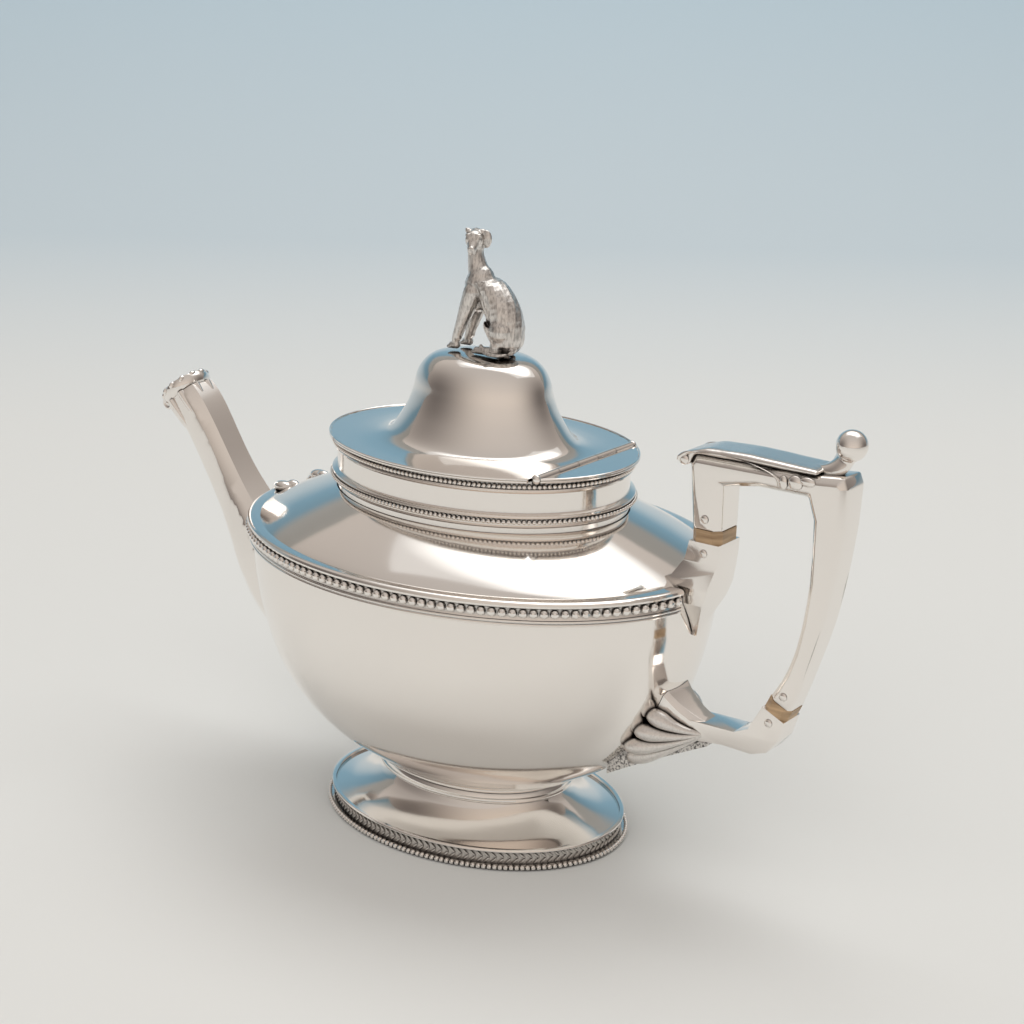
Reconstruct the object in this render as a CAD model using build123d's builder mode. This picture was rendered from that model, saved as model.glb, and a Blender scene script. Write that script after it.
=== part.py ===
# Oval silver teapot with a hinged lid, a hollow faceted spout and an insulated scroll handle.
# Frame: origin at the centre of the foot on the table, +X towards the handle, +Z up, millimetres.
from build123d import *
import os
from math import atan2, cos, radians, sin, sqrt

os.makedirs("parts", exist_ok=True)

# ------------------------------------------------------------------ driving sizes
ASPECT = 0.76  # width over length of every oval section
WALL = 1.0  # raised sheet silver, measured along the length of the pot
LID_WALL = 0.9

FOOT_HALF = 55.0  # half length of the chased foot band
FOOT_RING_H = 1.6  # flat ring that stands on the table
FOOT_RING_W = 5.2
FOOT_BAND_TOP = 6.0
FOOT_RIM_H = 1.1
FOOT_BEAD_R = 1.1
WAIST_HALF = 34.6
WAIST_Z = 15.8  # top of the foot cone

GIRDLE_HALF = 86.2  # half length of the bowl's sheet at the girdle
GIRDLE_Z = 100.1  # seam between bowl and shoulder
GIRDLE_BAND_T = 1.0
GIRDLE_BEAD_R = 1.5
GIRDLE_WIRE_R = 1.1
REED_R = 0.55

NECK_HALF = 53.6
NECK_FOOT_Z = 116.6
NECK_TOP_Z = 133.2
NECK_BEAD_R = 0.8
RIM_T = 0.8
RIM_W = 2.0

LID_HALF = 56.2
LID_GAP = 0.3  # between the lid plate and the neck rim
EDGE_WIRE_R = 0.65
DOME_H = 30.1  # from the top of the lid plate to the crown
DOME_HALF = 24.9  # half length of the dome at mid height
BEZEL_DEPTH = 4.5
BEZEL_GAP = 0.8
VENT_R = 1.0

HINGE_X = 42.1
KNUCKLES = 5
KNUCKLE_R = 1.35
KNUCKLE_GAP = 0.2
PIN_DROP = 0.2  # the hinge axis below the top of the lid plate
PIN_R = 0.6
PIN_CLEAR = 0.05
PLATE_TO_AXIS = 1.65  # from the hinge axis to either plate edge
CAP_R = 1.6
CAP_T = 1.3

SPOUT_TIP_X = -137.5
SPOUT_TIP_Z = 129.0
SPOUT_WALL = 1.0
STRAINER_HOLE_R = 1.25
STRAINER_PITCH = 5.0

SPOUT_GAP_HALF = 8.5  # half of the break in the girdle behind the spout
SOCKET_GAP_HALF = 9.6

GRIP_DEPTH = 14.4  # across the handle at the top bar, along Y
GRIP_TAPER = 0.026  # each side draws in by this much for every mm down
GRIP_CHAMFER = 2.4
STUB_X = 86.2  # inner face of the front stub
STUB_W = 10.6
UPPER_INSULATOR_Z = 119.2
INSULATOR_T = 4.2
LOWER_INSULATOR_X = 118.6
LOWER_INSULATOR_Z = 68.6
LOWER_TILT = 25.0  # degrees the lower insulator leans outwards
LOWER_W = 8.6
BAR_TOP = 147.0
BACK_X = 138.2  # outer face of the back member at the top
LEAF_T = 3.2
TENON_LEN = 7.0
HANDLE_PIN_R = 1.0
PIN_SETBACK = 3.4  # from an insulator's face to the pin beside it
KNOB_R = 4.9
STUD_R = 1.5
STUD_CLEAR = 0.1

# ------------------------------------------------------------------ sizes that follow
RIM_TOP = NECK_TOP_Z + RIM_T
PLATE_Z = RIM_TOP + LID_GAP
PLATE_TOP = PLATE_Z + LID_WALL
HINGE_Z = PLATE_TOP - PIN_DROP
CROWN_Z = PLATE_TOP + DOME_H
SEAT_HALF = NECK_HALF - RIM_W
BEZEL_HALF = SEAT_HALF - BEZEL_GAP
BOWL_H = GIRDLE_Z - WAIST_Z
HINGE_HALF = ASPECT * sqrt(LID_HALF**2 - HINGE_X**2) - CAP_T


def finish(piece, name):
    """Label a finished piece and write its STEP file."""
    piece.part.label = name
    export_step(piece.part, f"parts/{name}.step")


def between(low, high, share):
    return low + (high - low) * share


# ------------------------------------------------------------------ oval outlines (half length, height)
BOWL_OUTLINE = [
    (0, WAIST_Z - 1.2),
    (between(0, WAIST_HALF, 0.5), WAIST_Z - 0.9),
    (WAIST_HALF - 2.0, WAIST_Z + 2.3),
    (between(WAIST_HALF, GIRDLE_HALF, 0.27), WAIST_Z + 0.137 * BOWL_H),
    (between(WAIST_HALF, GIRDLE_HALF, 0.485), WAIST_Z + 0.22 * BOWL_H),
    (between(WAIST_HALF, GIRDLE_HALF, 0.675), WAIST_Z + 0.335 * BOWL_H),
    (between(WAIST_HALF, GIRDLE_HALF, 0.825), WAIST_Z + 0.477 * BOWL_H),
    (between(WAIST_HALF, GIRDLE_HALF, 0.92), WAIST_Z + 0.643 * BOWL_H),
    (between(WAIST_HALF, GIRDLE_HALF, 0.98), WAIST_Z + 0.82 * BOWL_H),
    (GIRDLE_HALF, GIRDLE_Z),
]
SHOULDER_RISE = NECK_FOOT_Z - GIRDLE_Z
SHOULDER_OUTLINE = [
    (GIRDLE_HALF, GIRDLE_Z),
    (between(GIRDLE_HALF, NECK_HALF, 0.07), GIRDLE_Z + 0.19 * SHOULDER_RISE),
    (between(GIRDLE_HALF, NECK_HALF, 0.23), GIRDLE_Z + 0.38 * SHOULDER_RISE),
    (between(GIRDLE_HALF, NECK_HALF, 0.48), GIRDLE_Z + 0.61 * SHOULDER_RISE),
    (between(GIRDLE_HALF, NECK_HALF, 0.78), GIRDLE_Z + 0.85 * SHOULDER_RISE),
    (NECK_HALF + 0.35 * WALL, NECK_FOOT_Z),
]
FOOT_OUTLINE = [
    (FOOT_HALF - 0.6, FOOT_BAND_TOP + FOOT_RIM_H),
    (between(FOOT_HALF, WAIST_HALF, 0.36), FOOT_BAND_TOP + 2.3),
    (between(FOOT_HALF, WAIST_HALF, 0.66), FOOT_BAND_TOP + 4.6),
    (between(FOOT_HALF, WAIST_HALF, 0.88), FOOT_BAND_TOP + 7.3),
    (WAIST_HALF, WAIST_Z),
]
LID_OUTLINE = [
    (LID_HALF, PLATE_TOP),
    (DOME_HALF + 19.5, PLATE_TOP + 0.1),
    (DOME_HALF + 12.2, PLATE_TOP + 0.8),
    (DOME_HALF + 8.3, PLATE_TOP + 3.0),
    (DOME_HALF + 3.6, PLATE_TOP + 9.6),
    (DOME_HALF + 0.9, PLATE_TOP + 0.52 * DOME_H),
    (DOME_HALF - 0.7, PLATE_TOP + 0.72 * DOME_H),
    (DOME_HALF - 3.4, PLATE_TOP + 0.86 * DOME_H),
    (DOME_HALF - 7.6, PLATE_TOP + 0.95 * DOME_H),
    (0.42 * DOME_HALF, PLATE_TOP + 0.99 * DOME_H),
    (0, CROWN_Z),
]


OVAL = (1, ASPECT, 1)
BOWL_ENDS = ((1, 0), (0, 1))
SHOULDER_ENDS = ((0, 1), (-1, 0.35))
LID_ENDS = ((-1, 0), (-1, 0))


def turned_sheet(outline, wall, tangents=None):
    """A round wall of sheet metal turned along an outline, before it is squeezed oval."""
    with BuildPart(mode=Mode.PRIVATE) as sheet:
        with BuildSketch(Plane.XZ):
            with BuildLine():
                Spline(*outline, tangents=tangents)
                offset(amount=wall, side=Side.LEFT)
            make_face()
        revolve(axis=Axis.Z)
    return sheet.part


def turned_ring(corners):
    """A round ring with a polygon section, before it is squeezed oval."""
    with BuildPart(mode=Mode.PRIVATE) as ring:
        with BuildSketch(Plane.XZ):
            with BuildLine():
                Polyline(*corners, close=True)
            make_face()
        revolve(axis=Axis.Z)
    return ring.part


def turned_bead(inner_half, middle_z, radius, stand_out):
    """A round half-round wire: flat inside, bulging outside."""
    with BuildPart(mode=Mode.PRIVATE) as wire:
        with BuildSketch(Plane.XZ):
            with BuildLine():
                low = (inner_half, middle_z - radius)
                high = (inner_half, middle_z + radius)
                Line(low, high)
                ThreePointArc(high, (inner_half + stand_out, middle_z), low)
            make_face()
        revolve(axis=Axis.Z)
    return wire.part


def oval_piece(name, round_part):
    """Squeeze a turned part to the oval and finish it."""
    with BuildPart() as piece:
        add(round_part)
        scale(by=OVAL)
    finish(piece, name)


def turned_core(outline, tangents):
    """The solid space inside an outline, used to cut spout and handle roots to fit."""
    with BuildPart(mode=Mode.PRIVATE) as core:
        with BuildSketch(Plane.XZ):
            with BuildLine():
                Spline(*outline, tangents=tangents)
                corners = [(0, outline[-1][1]), (0, outline[0][1])]
                open_corners = [c for c in corners if c not in outline]
                Polyline(outline[-1], *open_corners, outline[0])
            make_face()
        revolve(axis=Axis.Z)
    return core.part


# ------------------------------------------------------------------ foot
RING_OUTER = FOOT_HALF + 1.4
RING_INNER = RING_OUTER - FOOT_RING_W
with BuildPart() as base_ring:
    with BuildSketch():
        Ellipse(RING_OUTER, RING_OUTER * ASPECT)
        Ellipse(RING_INNER, RING_INNER * ASPECT, mode=Mode.SUBTRACT)
    extrude(amount=FOOT_RING_H)
finish(base_ring, "foot_base_ring")

oval_piece("foot_bead_wire", turned_bead(RING_OUTER, FOOT_BEAD_R + 0.1, FOOT_BEAD_R, FOOT_BEAD_R + 0.4))
oval_piece("foot_chased_band", turned_ring([
    (FOOT_HALF - WALL, FOOT_RING_H),
    (FOOT_HALF, FOOT_RING_H),
    (FOOT_HALF, FOOT_BAND_TOP),
    (FOOT_HALF - WALL, FOOT_BAND_TOP),
]))
RIM_IN = FOOT_OUTLINE[0][0] + 0.05
RIM_OUT = FOOT_HALF + 1.2
oval_piece("foot_rim_ring", turned_ring([
    (RIM_IN, FOOT_BAND_TOP),
    (RIM_OUT - 0.3, FOOT_BAND_TOP),
    (RIM_OUT, FOOT_BAND_TOP + 0.5 * FOOT_RIM_H),
    (RIM_OUT - 0.3, FOOT_BAND_TOP + FOOT_RIM_H),
    (RIM_IN, FOOT_BAND_TOP + FOOT_RIM_H),
]))
oval_piece("foot_shell", turned_sheet(FOOT_OUTLINE, WALL))
oval_piece("waist_ring", turned_ring([
    (WAIST_HALF - 2.0, WAIST_Z),
    (WAIST_HALF + 1.6, WAIST_Z),
    (WAIST_HALF + 2.4, WAIST_Z + 1.0),
    (WAIST_HALF + 1.8, WAIST_Z + 2.2),
    (WAIST_HALF + 0.9, WAIST_Z + 3.5),
    (WAIST_HALF - 2.0, WAIST_Z + 1.9),
]))

# ------------------------------------------------------------------ bowl and shoulder
STRAINER_Z = GIRDLE_Z - 40.0  # middle of the pierced strainer
STRAINER_ROWS = 3
with BuildPart() as bowl:
    add(turned_sheet(BOWL_OUTLINE, WALL, BOWL_ENDS))
    with BuildSketch(Plane.YZ.offset(-GIRDLE_HALF)):
        with Locations((0, STRAINER_Z)):
            with GridLocations(STRAINER_PITCH / ASPECT, STRAINER_PITCH, STRAINER_ROWS, STRAINER_ROWS):
                Circle(STRAINER_HOLE_R)
    extrude(amount=GIRDLE_HALF / 2, mode=Mode.SUBTRACT)
    scale(by=OVAL)
finish(bowl, "bowl")
oval_piece("shoulder", turned_sheet(SHOULDER_OUTLINE, WALL, SHOULDER_ENDS))

# ------------------------------------------------------------------ girdle
def cut_girdle_ends():
    """Open the girdle where the spout and the upper handle socket stand on the pot."""
    for x, half_gap in ((-GIRDLE_HALF, SPOUT_GAP_HALF), (GIRDLE_HALF, SOCKET_GAP_HALF)):
        with Locations((x, 0, GIRDLE_Z)):
            Box(30, 2 * half_gap / ASPECT, 30, mode=Mode.SUBTRACT)


BAND_OUT = GIRDLE_HALF + GIRDLE_BAND_T
BAND_LOW = GIRDLE_Z - 4.4
BAND_HIGH = GIRDLE_Z + 3.75
with BuildPart() as girdle_band:
    add(turned_ring([
        (GIRDLE_HALF + 0.05, BAND_LOW),
        (BAND_OUT, BAND_LOW),
        (BAND_OUT + REED_R, BAND_LOW + REED_R),
        (BAND_OUT, BAND_LOW + 2 * REED_R),
        (BAND_OUT + REED_R, BAND_LOW + 3 * REED_R),
        (BAND_OUT, BAND_LOW + 4 * REED_R),
        (BAND_OUT, BAND_HIGH - 2 * GIRDLE_WIRE_R),
        (BAND_OUT + 0.7, BAND_HIGH - 1.5 * GIRDLE_WIRE_R),
        (BAND_OUT + 0.7, BAND_HIGH - 0.5 * GIRDLE_WIRE_R),
        (BAND_OUT - 0.2, BAND_HIGH),
        (SHOULDER_OUTLINE[1][0] + 0.9, BAND_HIGH),
        (SHOULDER_OUTLINE[1][0] + 2.1, GIRDLE_Z + 1.8),
        (GIRDLE_HALF + 0.05, GIRDLE_Z + 0.9),
    ]))
    cut_girdle_ends()
    scale(by=OVAL)
finish(girdle_band, "girdle_band")

with BuildPart() as girdle_beads:
    add(turned_bead(BAND_OUT, GIRDLE_Z, GIRDLE_BEAD_R, GIRDLE_BEAD_R + 0.1))
    cut_girdle_ends()
    scale(by=OVAL)
finish(girdle_beads, "girdle_bead_wire")

# ------------------------------------------------------------------ neck
oval_piece("neck_collar", turned_ring([
    (NECK_HALF - WALL, NECK_FOOT_Z - 1.6),
    (NECK_HALF, NECK_FOOT_Z - 1.6),
    (NECK_HALF, NECK_TOP_Z),
    (NECK_HALF - WALL, NECK_TOP_Z),
]))
LOWER_ROW_Z = NECK_FOOT_Z + 4.3
UPPER_ROW_Z = NECK_TOP_Z - 0.9
STRIP_T = 1.5
UPPER_STRIP_T = 0.5
oval_piece("neck_lower_moulding", turned_ring([
    (NECK_HALF, LOWER_ROW_Z - 2.6),
    (NECK_HALF + STRIP_T, LOWER_ROW_Z - 1.2),
    (NECK_HALF + STRIP_T, LOWER_ROW_Z + 0.9),
    (NECK_HALF + STRIP_T + REED_R, LOWER_ROW_Z + 0.9 + REED_R),
    (NECK_HALF + STRIP_T, LOWER_ROW_Z + 0.9 + 2 * REED_R),
    (NECK_HALF, LOWER_ROW_Z + 0.9 + 3 * REED_R),
]))
oval_piece("neck_lower_bead_wire", turned_bead(
    NECK_HALF + STRIP_T, LOWER_ROW_Z, NECK_BEAD_R, NECK_BEAD_R + 0.4))
oval_piece("neck_upper_moulding", turned_ring([
    (NECK_HALF, UPPER_ROW_Z - 0.9 - 3 * REED_R),
    (NECK_HALF + UPPER_STRIP_T, UPPER_ROW_Z - 0.9 - 2 * REED_R),
    (NECK_HALF + UPPER_STRIP_T + REED_R, UPPER_ROW_Z - 0.9 - REED_R),
    (NECK_HALF + UPPER_STRIP_T, UPPER_ROW_Z - 0.9),
    (NECK_HALF + UPPER_STRIP_T, NECK_TOP_Z),
    (NECK_HALF, NECK_TOP_Z),
]))
oval_piece("neck_upper_bead_wire", turned_bead(
    NECK_HALF + UPPER_STRIP_T, UPPER_ROW_Z, NECK_BEAD_R, NECK_BEAD_R + 0.6))

# the flat rim has a groove that clears the knuckles
GROOVE = 2 * (KNUCKLE_R + LID_GAP)
with BuildPart() as neck_rim:
    with BuildSketch(Plane.XY.offset(NECK_TOP_Z)):
        Ellipse(NECK_HALF + UPPER_STRIP_T, (NECK_HALF + UPPER_STRIP_T) * ASPECT)
        Ellipse(SEAT_HALF, SEAT_HALF * ASPECT, mode=Mode.SUBTRACT)
        with Locations((HINGE_X, 0)):
            Rectangle(GROOVE, 2 * NECK_HALF, mode=Mode.SUBTRACT)
    extrude(amount=RIM_T)
finish(neck_rim, "neck_rim")

# ------------------------------------------------------------------ hinge
LEAF_EDGE_X = HINGE_X + PLATE_TO_AXIS
LID_EDGE_X = HINGE_X - PLATE_TO_AXIS
with BuildPart() as hinge_leaf:
    with BuildSketch(Plane.XY.offset(RIM_TOP)):
        Ellipse(LID_HALF, LID_HALF * ASPECT)
        with Locations((LEAF_EDGE_X - LID_HALF, 0)):
            Rectangle(2 * LID_HALF, 2 * LID_HALF, mode=Mode.SUBTRACT)
    extrude(amount=PLATE_TOP - RIM_TOP)
finish(hinge_leaf, "hinge_leaf")

EDGE_Z = between(PLATE_Z, PLATE_TOP, 0.5)
with BuildPart() as leaf_edge_wire:
    add(turned_bead(LID_HALF, EDGE_Z, EDGE_WIRE_R, EDGE_WIRE_R))
    split(bisect_by=Plane.YZ.offset(LEAF_EDGE_X), keep=Keep.TOP)
    scale(by=OVAL)
finish(leaf_edge_wire, "leaf_edge_wire")

with BuildPart() as lid_edge_wire:
    add(turned_bead(LID_HALF, EDGE_Z, EDGE_WIRE_R, EDGE_WIRE_R))
    split(bisect_by=Plane.YZ.offset(LID_EDGE_X), keep=Keep.BOTTOM)
    scale(by=OVAL)
finish(lid_edge_wire, "lid_edge_wire")

KNUCKLE_PITCH = 2 * HINGE_HALF / KNUCKLES
KNUCKLE_LEN = KNUCKLE_PITCH - KNUCKLE_GAP


def knuckles(indices, bore, plate_x):
    """Hinge tubes at the given stations, each with a tab to its plate's edge."""
    middle = between(HINGE_X, plate_x, 0.75)
    with BuildPart() as tubes:
        for index in indices:
            y = (index - (KNUCKLES - 1) / 2) * KNUCKLE_PITCH
            with BuildSketch(Plane.XZ.offset(-y - KNUCKLE_LEN / 2)):
                with Locations((HINGE_X, HINGE_Z)):
                    Circle(KNUCKLE_R)
                with Locations((middle, EDGE_Z)):
                    Rectangle(abs(plate_x - HINGE_X) / 2, LID_WALL)
                with Locations((HINGE_X, HINGE_Z)):
                    Circle(bore, mode=Mode.SUBTRACT)
            extrude(amount=KNUCKLE_LEN)
    return tubes


fixed_knuckles = knuckles(range(0, KNUCKLES, 2), PIN_R, LEAF_EDGE_X)
finish(fixed_knuckles, "fixed_knuckles")
lid_knuckles = knuckles(range(1, KNUCKLES, 2), PIN_R + PIN_CLEAR, LID_EDGE_X)
finish(lid_knuckles, "lid_knuckles")

with BuildPart() as hinge_pin:
    with BuildSketch(Plane.XZ.offset(-HINGE_HALF)):
        with Locations((HINGE_X, HINGE_Z)):
            Circle(PIN_R)
    extrude(amount=2 * HINGE_HALF)
finish(hinge_pin, "hinge_pin")

with BuildPart() as pin_caps:
    for start in (-HINGE_HALF - CAP_T, HINGE_HALF):
        with BuildSketch(Plane.XZ.offset(start)):
            with Locations((HINGE_X, HINGE_Z)):
                Circle(CAP_R)
        extrude(amount=CAP_T)
finish(pin_caps, "hinge_pin_caps")

# ------------------------------------------------------------------ lid
STUD_X = 9.0
VENT_X = -2.0
with BuildPart() as lid_shell:
    add(turned_sheet(LID_OUTLINE, LID_WALL, LID_ENDS))
    split(bisect_by=Plane.YZ.offset(LID_EDGE_X), keep=Keep.BOTTOM)
    with BuildSketch(Plane.XY.offset(CROWN_Z + 1)):
        with Locations((STUD_X, 0)):
            Ellipse(STUD_R + STUD_CLEAR, (STUD_R + STUD_CLEAR) / ASPECT)
        with Locations((VENT_X, 0)):
            Ellipse(VENT_R, VENT_R / ASPECT)
    extrude(amount=-6, mode=Mode.SUBTRACT)
    scale(by=OVAL)
finish(lid_shell, "lid_shell")

BEZEL_BACK_X = HINGE_X - 4.5
with BuildPart() as lid_bezel:
    with BuildSketch(Plane.XY.offset(PLATE_Z - BEZEL_DEPTH)):
        Ellipse(BEZEL_HALF, BEZEL_HALF * ASPECT)
        Ellipse(BEZEL_HALF - WALL, BEZEL_HALF * ASPECT - WALL, mode=Mode.SUBTRACT)
        with Locations((BEZEL_BACK_X + BEZEL_HALF, 0)):
            Rectangle(2 * BEZEL_HALF, 2 * BEZEL_HALF, mode=Mode.SUBTRACT)
    extrude(amount=BEZEL_DEPTH)
finish(lid_bezel, "lid_bezel")

# ------------------------------------------------------------------ finial and its fixing
STUD_LOW = CROWN_Z - 6.5
with BuildPart() as finial_stud:
    with BuildSketch(Plane.XY.offset(STUD_LOW)):
        with Locations((STUD_X, 0)):
            Circle(STUD_R)
    extrude(amount=CROWN_Z + 0.2 - STUD_LOW)
finish(finial_stud, "finial_stud")

NUT_TOP = CROWN_Z - 2.6
with BuildPart() as finial_washer:
    with BuildSketch(Plane.XY.offset(NUT_TOP)):
        with Locations((STUD_X, 0)):
            Circle(3.4)
            Circle(STUD_R + STUD_CLEAR, mode=Mode.SUBTRACT)
    extrude(amount=0.6)
finish(finial_washer, "finial_washer")

with BuildPart() as finial_nut:
    with BuildSketch(Plane.XY.offset(NUT_TOP)):
        with Locations((STUD_X, 0)):
            RegularPolygon(2.9, 6)
            Circle(STUD_R, mode=Mode.SUBTRACT)
    extrude(amount=-2.4)
finish(finial_nut, "finial_nut")


def limb(points):
    """Round-jointed tapering limb through (x, y, z, radius) stations above the crown."""
    for x, y, z, radius in points:
        with Locations((x, y, CROWN_Z + z)):
            Sphere(radius)
    for low, high in zip(points[:-1], points[1:]):
        foot = Vector(low[0], low[1], CROWN_Z + low[2])
        head = Vector(high[0], high[1], CROWN_Z + high[2])
        along = head - foot
        with Locations(Plane(origin=foot, z_dir=along).location):
            Cone(low[3], high[3], along.length, align=(Align.CENTER, Align.CENTER, Align.MIN))


with BuildPart() as hound:
    limb([(9.5, 0, 6.2, 5.9), (6.5, 0, 16.0, 6.3), (0.5, 0, 22.0, 6.0)])
    limb([(0.5, 0, 22.5, 5.0), (-3.8, 0, 30.0, 3.2), (-4.2, -0.4, 36.0, 3.6)])
    limb([(-4.2, -0.8, 36.2, 3.4), (-3.6, -5.2, 34.2, 1.9)])
    for side in (-1, 1):
        limb([(-2.5, 3.4 * side, 19.0, 3.0), (-7.0, 3.6 * side, 8.0, 1.9), (-10.0, 3.4 * side, 1.6, 1.5)])
        limb([(9.0, 3.6 * side, 6.0, 3.6), (1.0, 4.6 * side, 1.6, 1.5)])
        limb([(-3.2, 2.6 * side, 38.2, 1.2), (-1.0, 3.6 * side, 39.4, 0.9)])
    with BuildSketch(Plane.XY.offset(CROWN_Z + 0.3)):
        Rectangle(60, 60)
    extrude(amount=-20, mode=Mode.SUBTRACT)
finish(hound, "finial_hound")

# ------------------------------------------------------------------ spout
bowl_core = turned_core(BOWL_OUTLINE, BOWL_ENDS)
# stations along the spout: x, z, half thickness in its plane, half width across
SPOUT_STATIONS = [
    (20.0 - GIRDLE_HALF, STRAINER_Z - 4.0, 11.5, 12.0),
    (2.0 - GIRDLE_HALF, STRAINER_Z + 2.0, 14.0, 12.5),
    (-11.0 - GIRDLE_HALF, STRAINER_Z + 15.0, 12.0, 11.5),
    (-21.0 - GIRDLE_HALF, STRAINER_Z + 28.5, 9.0, 9.2),
    (SPOUT_TIP_X + 23.5, GIRDLE_Z - 2.0, 7.8, 8.0),
    (SPOUT_TIP_X + 13.0, SPOUT_TIP_Z - 15.0, 7.4, 7.6),
    (SPOUT_TIP_X, SPOUT_TIP_Z, 8.0, 8.0),
]


def spout_solid(inset, stretch):
    """A smooth eight-sided tube through the stations, drawn in by an inset all round."""
    with BuildPart(mode=Mode.PRIVATE) as tube:
        for index, (x, z, thick, wide) in enumerate(SPOUT_STATIONS):
            low = SPOUT_STATIONS[max(index - 1, 0)]
            high = SPOUT_STATIONS[min(index + 1, len(SPOUT_STATIONS) - 1)]
            run = Vector(high[0] - low[0], 0, high[1] - low[1]).normalized()
            middle = Vector(x, 0, z)
            if index == 0:
                middle = middle - run * stretch
            if index == len(SPOUT_STATIONS) - 1:
                middle = middle + run * stretch
            with BuildSketch(Plane(origin=middle, x_dir=(0, 1, 0), z_dir=run)):
                Rectangle(2 * (wide - inset) / ASPECT, 2 * (thick - inset))
                chamfer(vertices(), 0.5 * (thick - inset))
        loft()
    return tube.part


with BuildPart() as spout_body:
    add(spout_solid(0, 0))
    add(spout_solid(SPOUT_WALL, 3), mode=Mode.SUBTRACT)
    add(bowl_core, mode=Mode.SUBTRACT)
    scale(by=OVAL)
finish(spout_body, "spout_body")

# a cast lip stands round the mouth of the spout
TIP_RUN = Vector(
    SPOUT_STATIONS[-1][0] - SPOUT_STATIONS[-2][0], 0, SPOUT_STATIONS[-1][1] - SPOUT_STATIONS[-2][1]
).normalized()
LIP_H = 4.6
TIP = Vector(SPOUT_TIP_X, 0, SPOUT_TIP_Z)
TIP_THICK, TIP_WIDE = SPOUT_STATIONS[-1][2:]
with BuildPart() as spout_lip:
    for share, flare in ((0, 0.2), (0.7, 1.4), (1, 1.0)):
        with BuildSketch(Plane(origin=TIP + TIP_RUN * LIP_H * share, x_dir=(0, 1, 0), z_dir=TIP_RUN)):
            Ellipse(TIP_WIDE + flare, TIP_THICK + flare)
    loft()
    for share, inset in ((-0.1, SPOUT_WALL), (1.1, SPOUT_WALL)):
        with BuildSketch(Plane(origin=TIP + TIP_RUN * LIP_H * share, x_dir=(0, 1, 0), z_dir=TIP_RUN)):
            Ellipse(TIP_WIDE - inset, TIP_THICK - inset)
    loft(mode=Mode.SUBTRACT)
finish(spout_lip, "spout_lip")

# ------------------------------------------------------------------ handle
UPPER_TOP_Z = UPPER_INSULATOR_Z + INSULATOR_T
STUB_MID_X = STUB_X + STUB_W / 2
LOWER_PLANE = Plane(
    origin=(LOWER_INSULATOR_X, 0, LOWER_INSULATOR_Z),
    x_dir=(cos(radians(LOWER_TILT)), 0, -sin(radians(LOWER_TILT))),
    z_dir=(sin(radians(LOWER_TILT)), 0, cos(radians(LOWER_TILT))),
)
TENON_W = STUB_W - 5.0
TENON_D = GRIP_DEPTH - 8.0


def half_depth(z):
    """Half the handle's width across, which draws in towards the bottom."""
    return GRIP_DEPTH / 2 - GRIP_TAPER * (BAR_TOP - z)


def on_lower(across, along):
    """A point in the plane of symmetry, given across and along the lower insulator's axis."""
    point = LOWER_PLANE.from_local_coords(Vector(across, 0, along))
    return (point.X, point.Z)


def block_section(width, half):
    Rectangle(width, 2 * half)
    chamfer(vertices(), GRIP_CHAMFER)


def tenon(plane, low, high, width, depth, mode=Mode.ADD):
    """A square tenon of an insulator, or the socket that holds it."""
    with BuildSketch(plane.offset(low), mode=Mode.PRIVATE) as end:
        Rectangle(width, depth)
    extrude(end.sketch, amount=high - low, mode=mode)


UPPER_PLANE = Plane(origin=(STUB_MID_X, 0, UPPER_INSULATOR_Z))
PIN_CENTRES = [
    plane.from_local_coords(Vector(0, 0, along))
    for plane in (UPPER_PLANE, LOWER_PLANE)
    for along in (-PIN_SETBACK, INSULATOR_T + PIN_SETBACK)
]


def cross_pins(mode):
    """The round pins that run across the handle through each tenon."""
    for centre in PIN_CENTRES:
        reach = half_depth(centre.Z) + 0.3
        with BuildSketch(Plane.XZ.offset(-reach), mode=Mode.PRIVATE) as end:
            with Locations((centre.X, centre.Z)):
                Circle(HANDLE_PIN_R)
        extrude(end.sketch, amount=2 * reach, mode=mode)


with BuildPart() as insulator_pins:
    cross_pins(Mode.ADD)
finish(insulator_pins, "insulator_pins")

with BuildPart() as upper_insulator:
    for along in (0, INSULATOR_T):
        with BuildSketch(UPPER_PLANE.offset(along)):
            block_section(STUB_W, half_depth(UPPER_INSULATOR_Z + along))
    loft()
    tenon(UPPER_PLANE, -TENON_LEN, INSULATOR_T + TENON_LEN, TENON_W, TENON_D)
    cross_pins(Mode.SUBTRACT)
finish(upper_insulator, "upper_insulator")

LOWER_TENON_W = LOWER_W - 4.4
with BuildPart() as lower_insulator:
    for along in (0, INSULATOR_T):
        with BuildSketch(LOWER_PLANE.offset(along)):
            Rectangle(LOWER_W, 2 * half_depth(LOWER_INSULATOR_Z))
            chamfer(vertices(), GRIP_CHAMFER - 0.4)
    loft()
    tenon(LOWER_PLANE, -TENON_LEN, INSULATOR_T + TENON_LEN, LOWER_TENON_W, TENON_D - 1)
    cross_pins(Mode.SUBTRACT)
finish(lower_insulator, "lower_insulator")

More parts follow.
